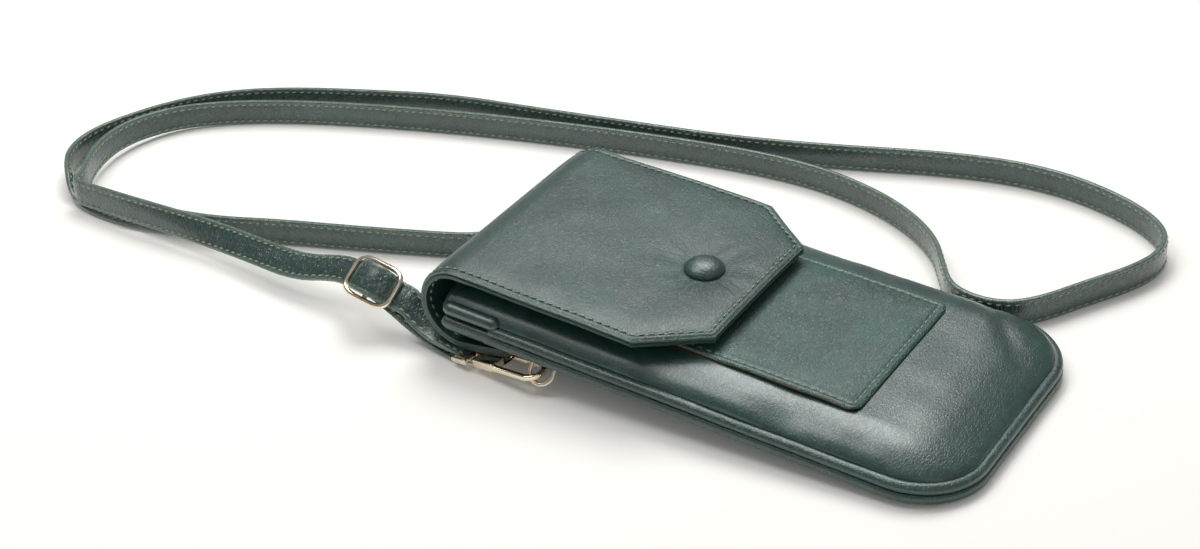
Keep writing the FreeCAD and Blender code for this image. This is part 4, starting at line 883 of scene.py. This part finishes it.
def flap_sheet(drop, thick, outer):
    """One layer of the fold and the flap, drop under the outer face."""
    turns = [math.pi * (1.5 - i / FOLD_STEPS) for i in range(FOLD_STEPS)]
    runs = spread(FLAP_STEPS, FOLD_X, TIP_X, FLAP_MARGIN)
    places = spread(SIDE_STEPS, -1, 1, SIDE_MARGIN)
    form = bmesh.new()
    edge = form.verts.layers.float.new("edge")
    steps = len(turns) + len(runs) - 1
    bmesh.ops.create_grid(form, x_segments=steps, y_segments=len(places) - 1, size=0.5)
    for vert in form.verts:
        i = round((vert.co.x + 0.5) * steps)
        share = places[round((vert.co.y + 0.5) * (len(places) - 1))]
        vert[edge] = float(abs(share) > 0.99 or i == steps)
        x = runs[max(0, i - len(turns))]
        half = FLAP_HALF + (TIP_HALF - FLAP_HALF) * max(0, (x - CUT_X) / (TIP_X - CUT_X))
        y = share * half
        side_rise = sewn_profile(FLAP_HALF - abs(y), FLAP_SEAM) if outer else 0
        if i < len(turns):
            radius = FOLD_R - drop + side_rise
            vert.co = (FOLD_X + radius * math.cos(turns[i]), y, FOLD_Z + radius * math.sin(turns[i]))
        else:
            rise = flap_rise(x, y) if outer else min(0, flap_rise(x, y))
            blend_in = min(1, (x - FOLD_X) / 0.01)
            vert.co = (x, y, FOLD_Z + FOLD_R - drop + rise * blend_in + side_rise * (1 - blend_in))
    outward(form)
    if sum(f.normal.z * (f.calc_center_median().x > FOLD_X) for f in form.faces) < 0:
        bmesh.ops.reverse_faces(form, faces=form.faces)
    thicken(form, thick)
    return lay(form)


snap_at = lie @ Vector((SNAP_X, 0, FOLD_Z + FOLD_R))
flap_hide = leather("flap_hide", 0.95, gloss=0.5, painted=True, drawn_to=snap_at)
flap_form = flap_sheet(drop=0.0, thick=FLAP_THICK, outer=True)
flap = piece("flap_hide_sheet", flap_form, flap_hide, sharp=FLAP_SHARP)
under_form = flap_sheet(drop=UNDER_DROP, thick=UNDER_THICK, outer=False)
flap_under = piece("flap_lining_sheet", under_form, lining_hide, sharp=FLAP_SHARP)
for made, slot, stands_for in ((flap, "green_leather", ("flap_outer", "fold_outer")),
                               (flap_under, "green_lining", ("flap_lining", "fold_lining"))):
    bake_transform(made)
    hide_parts(*stands_for)

flap_sewing = bmesh.new()
seam_y = FLAP_HALF - FLAP_SEAM
lean = math.tan(math.acos(cut_way.x) / 2) * FLAP_SEAM
far_side = [(TIP_X - FLAP_SEAM, TIP_HALF - lean), (CUT_X - lean, seam_y), (FOLD_X, seam_y)]
corners = [(x, -y) for x, y in far_side[::-1]] + far_side
sewn_high = FOLD_Z + FOLD_R + FLAP_THREAD_OUT
stitch_row(flap_sewing, *seam_line(corners, lambda x, y: sewn_high + flap_rise(x, y)))
fold_turns = [math.radians(90 + 180 * i / FOLD_STEPS) for i in range(FOLD_STEPS + 1)]
ways = [Vector((math.cos(angle), 0, math.sin(angle))) for angle in fold_turns]
for side in (-1, 1):
    middle = Vector((FOLD_X, side * seam_y, FOLD_Z))
    for radius, out in FOLD_SEAMS:
        stitch_row(flap_sewing, [lie @ (middle + way * radius) for way in ways],
                   [lie.to_3x3() @ (way * out) for way in ways])
flap_thread = piece("flap_thread", flap_sewing, thread)
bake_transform(flap_thread)


# Flap's tail: the end of the same two layers of hide, which runs on from the fold under the pouch, gets
# narrower there and is sewn flat to the back.
TAIL = (
    (FOLD_X, FOLD_Z - FOLD_R, 0.046), (-0.17978, -0.00845, 0.046), (-0.164, -0.00555, 0.046),
    (-0.148, -0.0026, 0.032), (-0.128, -0.0026, 0.032))
TAIL_ACROSS, TAIL_THICK, TAIL_SHARP = 16, 0.0027, 40
tail_form = bmesh.new()
bmesh.ops.create_grid(tail_form, x_segments=len(TAIL) - 1, y_segments=TAIL_ACROSS, size=0.5)
for vert in tail_form.verts:
    x, high, half = TAIL[round((vert.co.x + 0.5) * (len(TAIL) - 1))]
    vert.co = (x, vert.co.y * 2 * half, high)
outward(tail_form)
face_up(tail_form, sign=-1)
thicken(tail_form, TAIL_THICK)
flap_tail = piece("flap_tail", lay(tail_form), flap_hide, sharp=TAIL_SHARP)
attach(flap_tail, "pouch")


# Snap: a metal cap covered in the same hide, riveted through the flap to the socket under it. The stud that
# the socket closes on is fixed to the card pocket.
CAP_LINE = (
    (0, 3.6), (1.6, 3.54), (3.1, 3.3), (4.5, 2.85), (5.7, 2.15), (6.5, 1.3), (6.85, 0.6), (6.75, 0.0),
    (6.3, -0.5), (5.6, -0.9))
CAP_TURNS, CAP_SUNK = 40, 0.0006


def chain(form, places):
    """Places joined by edges, one after the other."""
    points = [form.verts.new(place) for place in places]
    for a, b in zip(points, points[1:]):
        form.edges.new((a, b))


cap_form = bmesh.new()
chain(cap_form, [(out / 1000, 0, high / 1000) for out, high in CAP_LINE])
bmesh.ops.spin(cap_form, geom=cap_form.verts[:] + cap_form.edges[:], cent=(0, 0, 0), axis=(0, 0, 1),
               angle=math.tau, steps=CAP_TURNS, use_merge=True)
bmesh.ops.remove_doubles(cap_form, verts=cap_form.verts, dist=MERGE)
outward(cap_form)
bmesh.ops.translate(cap_form, verts=cap_form.verts, vec=(SNAP_X, 0, FOLD_Z + FOLD_R - CAP_SUNK))
cap_hide = leather("cap_hide", 0.9, gloss=0.8, grain=0.7)
cap = piece("snap_cap_covered", lay(cap_form), cap_hide)
stand_in(cap, "flap", "green_leather", "snap_cap")


# Ring tabs: on each side a narrow strip of hide, folded round the straight bar of the ring. Both ends of the
# strip are sewn to the back.
TAB_X, TAB_WIDE, TAB_THICK, TAB_SHARP = -0.1507, 0.0064, 0.0006, 40
TAB_ENDS, TAB_LOW, TAB_HIGH = (0.035, 0.044), -0.0012, -0.0001
TAB_BEND_Y, TAB_BEND_Z, TAB_ROUND = 0.046, -0.0014, 0.00125
strip = [(y, TAB_LOW) for y in TAB_ENDS]
for angle in (math.radians(degrees) for degrees in range(-120, 81, 40)):
    strip.append((TAB_BEND_Y + TAB_ROUND * math.cos(angle), TAB_BEND_Z + TAB_ROUND * math.sin(angle)))
strip += [(y, TAB_HIGH) for y in TAB_ENDS[::-1]]
for side, name in ((-1, "near"), (1, "far")):
    tab_form = bmesh.new()
    chain(tab_form, [(TAB_X, side * y, z) for y, z in strip])
    grown = bmesh.ops.extrude_edge_only(tab_form, edges=tab_form.edges[:])
    draw_out(tab_form, grown, (TAB_WIDE, 0, 0))
    outward(tab_form)
    thicken(tab_form, TAB_THICK)
    tab = piece("ring_tab_strip_" + name, lay(tab_form), pouch_hide, sharp=TAB_SHARP)
    stand_in(tab, "pouch", "green_leather", "ring_tab_" + name)


# Metal: the rings, hooks, gates, snap and slider are cast in zinc, tumbled until their edges are round,
# polished and plated in pale gold.
GOLD_DARK, GOLD_LIGHT = (0.88, 0.75, 0.56, 1), (0.97, 0.87, 0.69, 1)
CAST_MERGE, CAST_FLAT, CAST_EDGE, CAST_SHARP = 2e-6, 1, 35, 40
BODY_SOFT, GATE_SOFT, EYE_SOFT = 0.00045, 0.00035, 0.0004
FRAME_LONG, FRAME_WIDE, FRAME_WIRE, FRAME_POWER, FRAME_TURNS = 0.0103, 0.0071, 0.0009, 0.52, (96, 12)
PLATED = ("d_ring", "gate_pin", "slider_bar", "snap_s")
gold, tree, shader = new_material("pale_gold")
spot = tree.node("ShaderNodeTexCoord", {}, {}, OBJECT)
smear = tree.node("ShaderNodeTexNoise", {}, {"Vector": spot, "Scale": 300.0, "Detail": 3.0})
smear.between(0.3, 0.7).mix(GOLD_DARK, GOLD_LIGHT).feed(shader, "Base Color")
(smear * 0.1 + 0.08).feed(shader, "Roughness")
shader.inputs["Metallic"].default_value = 1


def tumbled(node, body, soft):
    """A copy of a cast part with its edges rounded, which stands for it."""
    form = bmesh.new()
    form.from_mesh(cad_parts[node].data)
    bmesh.ops.remove_doubles(form, verts=form.verts, dist=CAST_MERGE)
    bmesh.ops.dissolve_limit(form, angle_limit=math.radians(CAST_FLAT), verts=form.verts, edges=form.edges)
    joined = [e for e in form.edges if len(e.link_faces) == 2]
    soften(form, [e for e in joined if e.calc_face_angle() > math.radians(CAST_EDGE)], soft)
    for face in form.faces:
        face.material_index = 0
    made = piece(node + "_cast", form, gold, sharp=CAST_SHARP)
    stand_in(made, body, "pale_gold_metal", node)


for side in ("near", "far"):
    tumbled("hook_body_" + side, "hook_" + side, BODY_SOFT)
    tumbled("hook_gate_" + side, "gate_" + side, GATE_SOFT)
    tumbled("hook_eye_" + side, "pouch", EYE_SOFT)
wire_form = bmesh.new()
bmesh.ops.create_grid(wire_form, x_segments=FRAME_TURNS[0], y_segments=FRAME_TURNS[1], size=0.5)
for vert in wire_form.verts:
    along, around = (vert.co.x + 0.5) * math.tau, (vert.co.y + 0.5) * math.tau
    c, s = math.cos(along), math.sin(along)
    x, y = (signed_power(v, FRAME_POWER) for v in (c, s))
    out_x, out_y = (signed_power(v, 2 - FRAME_POWER) for v in (c, s))
    middle = Vector((x * FRAME_LONG, y * FRAME_WIDE, 0))
    away = Vector((out_x / FRAME_LONG, out_y / FRAME_WIDE, 0))
    vert.co = middle + away.normalized() * (math.cos(around) * FRAME_WIRE)
    vert.co.z = math.sin(around) * FRAME_WIRE
bmesh.ops.remove_doubles(wire_form, verts=wire_form.verts, dist=MERGE)
outward(wire_form)
bmesh.ops.transform(wire_form, matrix=slider_seat, verts=wire_form.verts)
stand_in(piece("slider_frame_wire", wire_form, gold), "slider", "pale_gold_metal", "slider_frame")
for name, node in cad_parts.items():
    if name.startswith(PLATED):
        node.data.materials.clear()
        node.data.materials.append(gold)

strap_length = distances(strap_path)[-1]
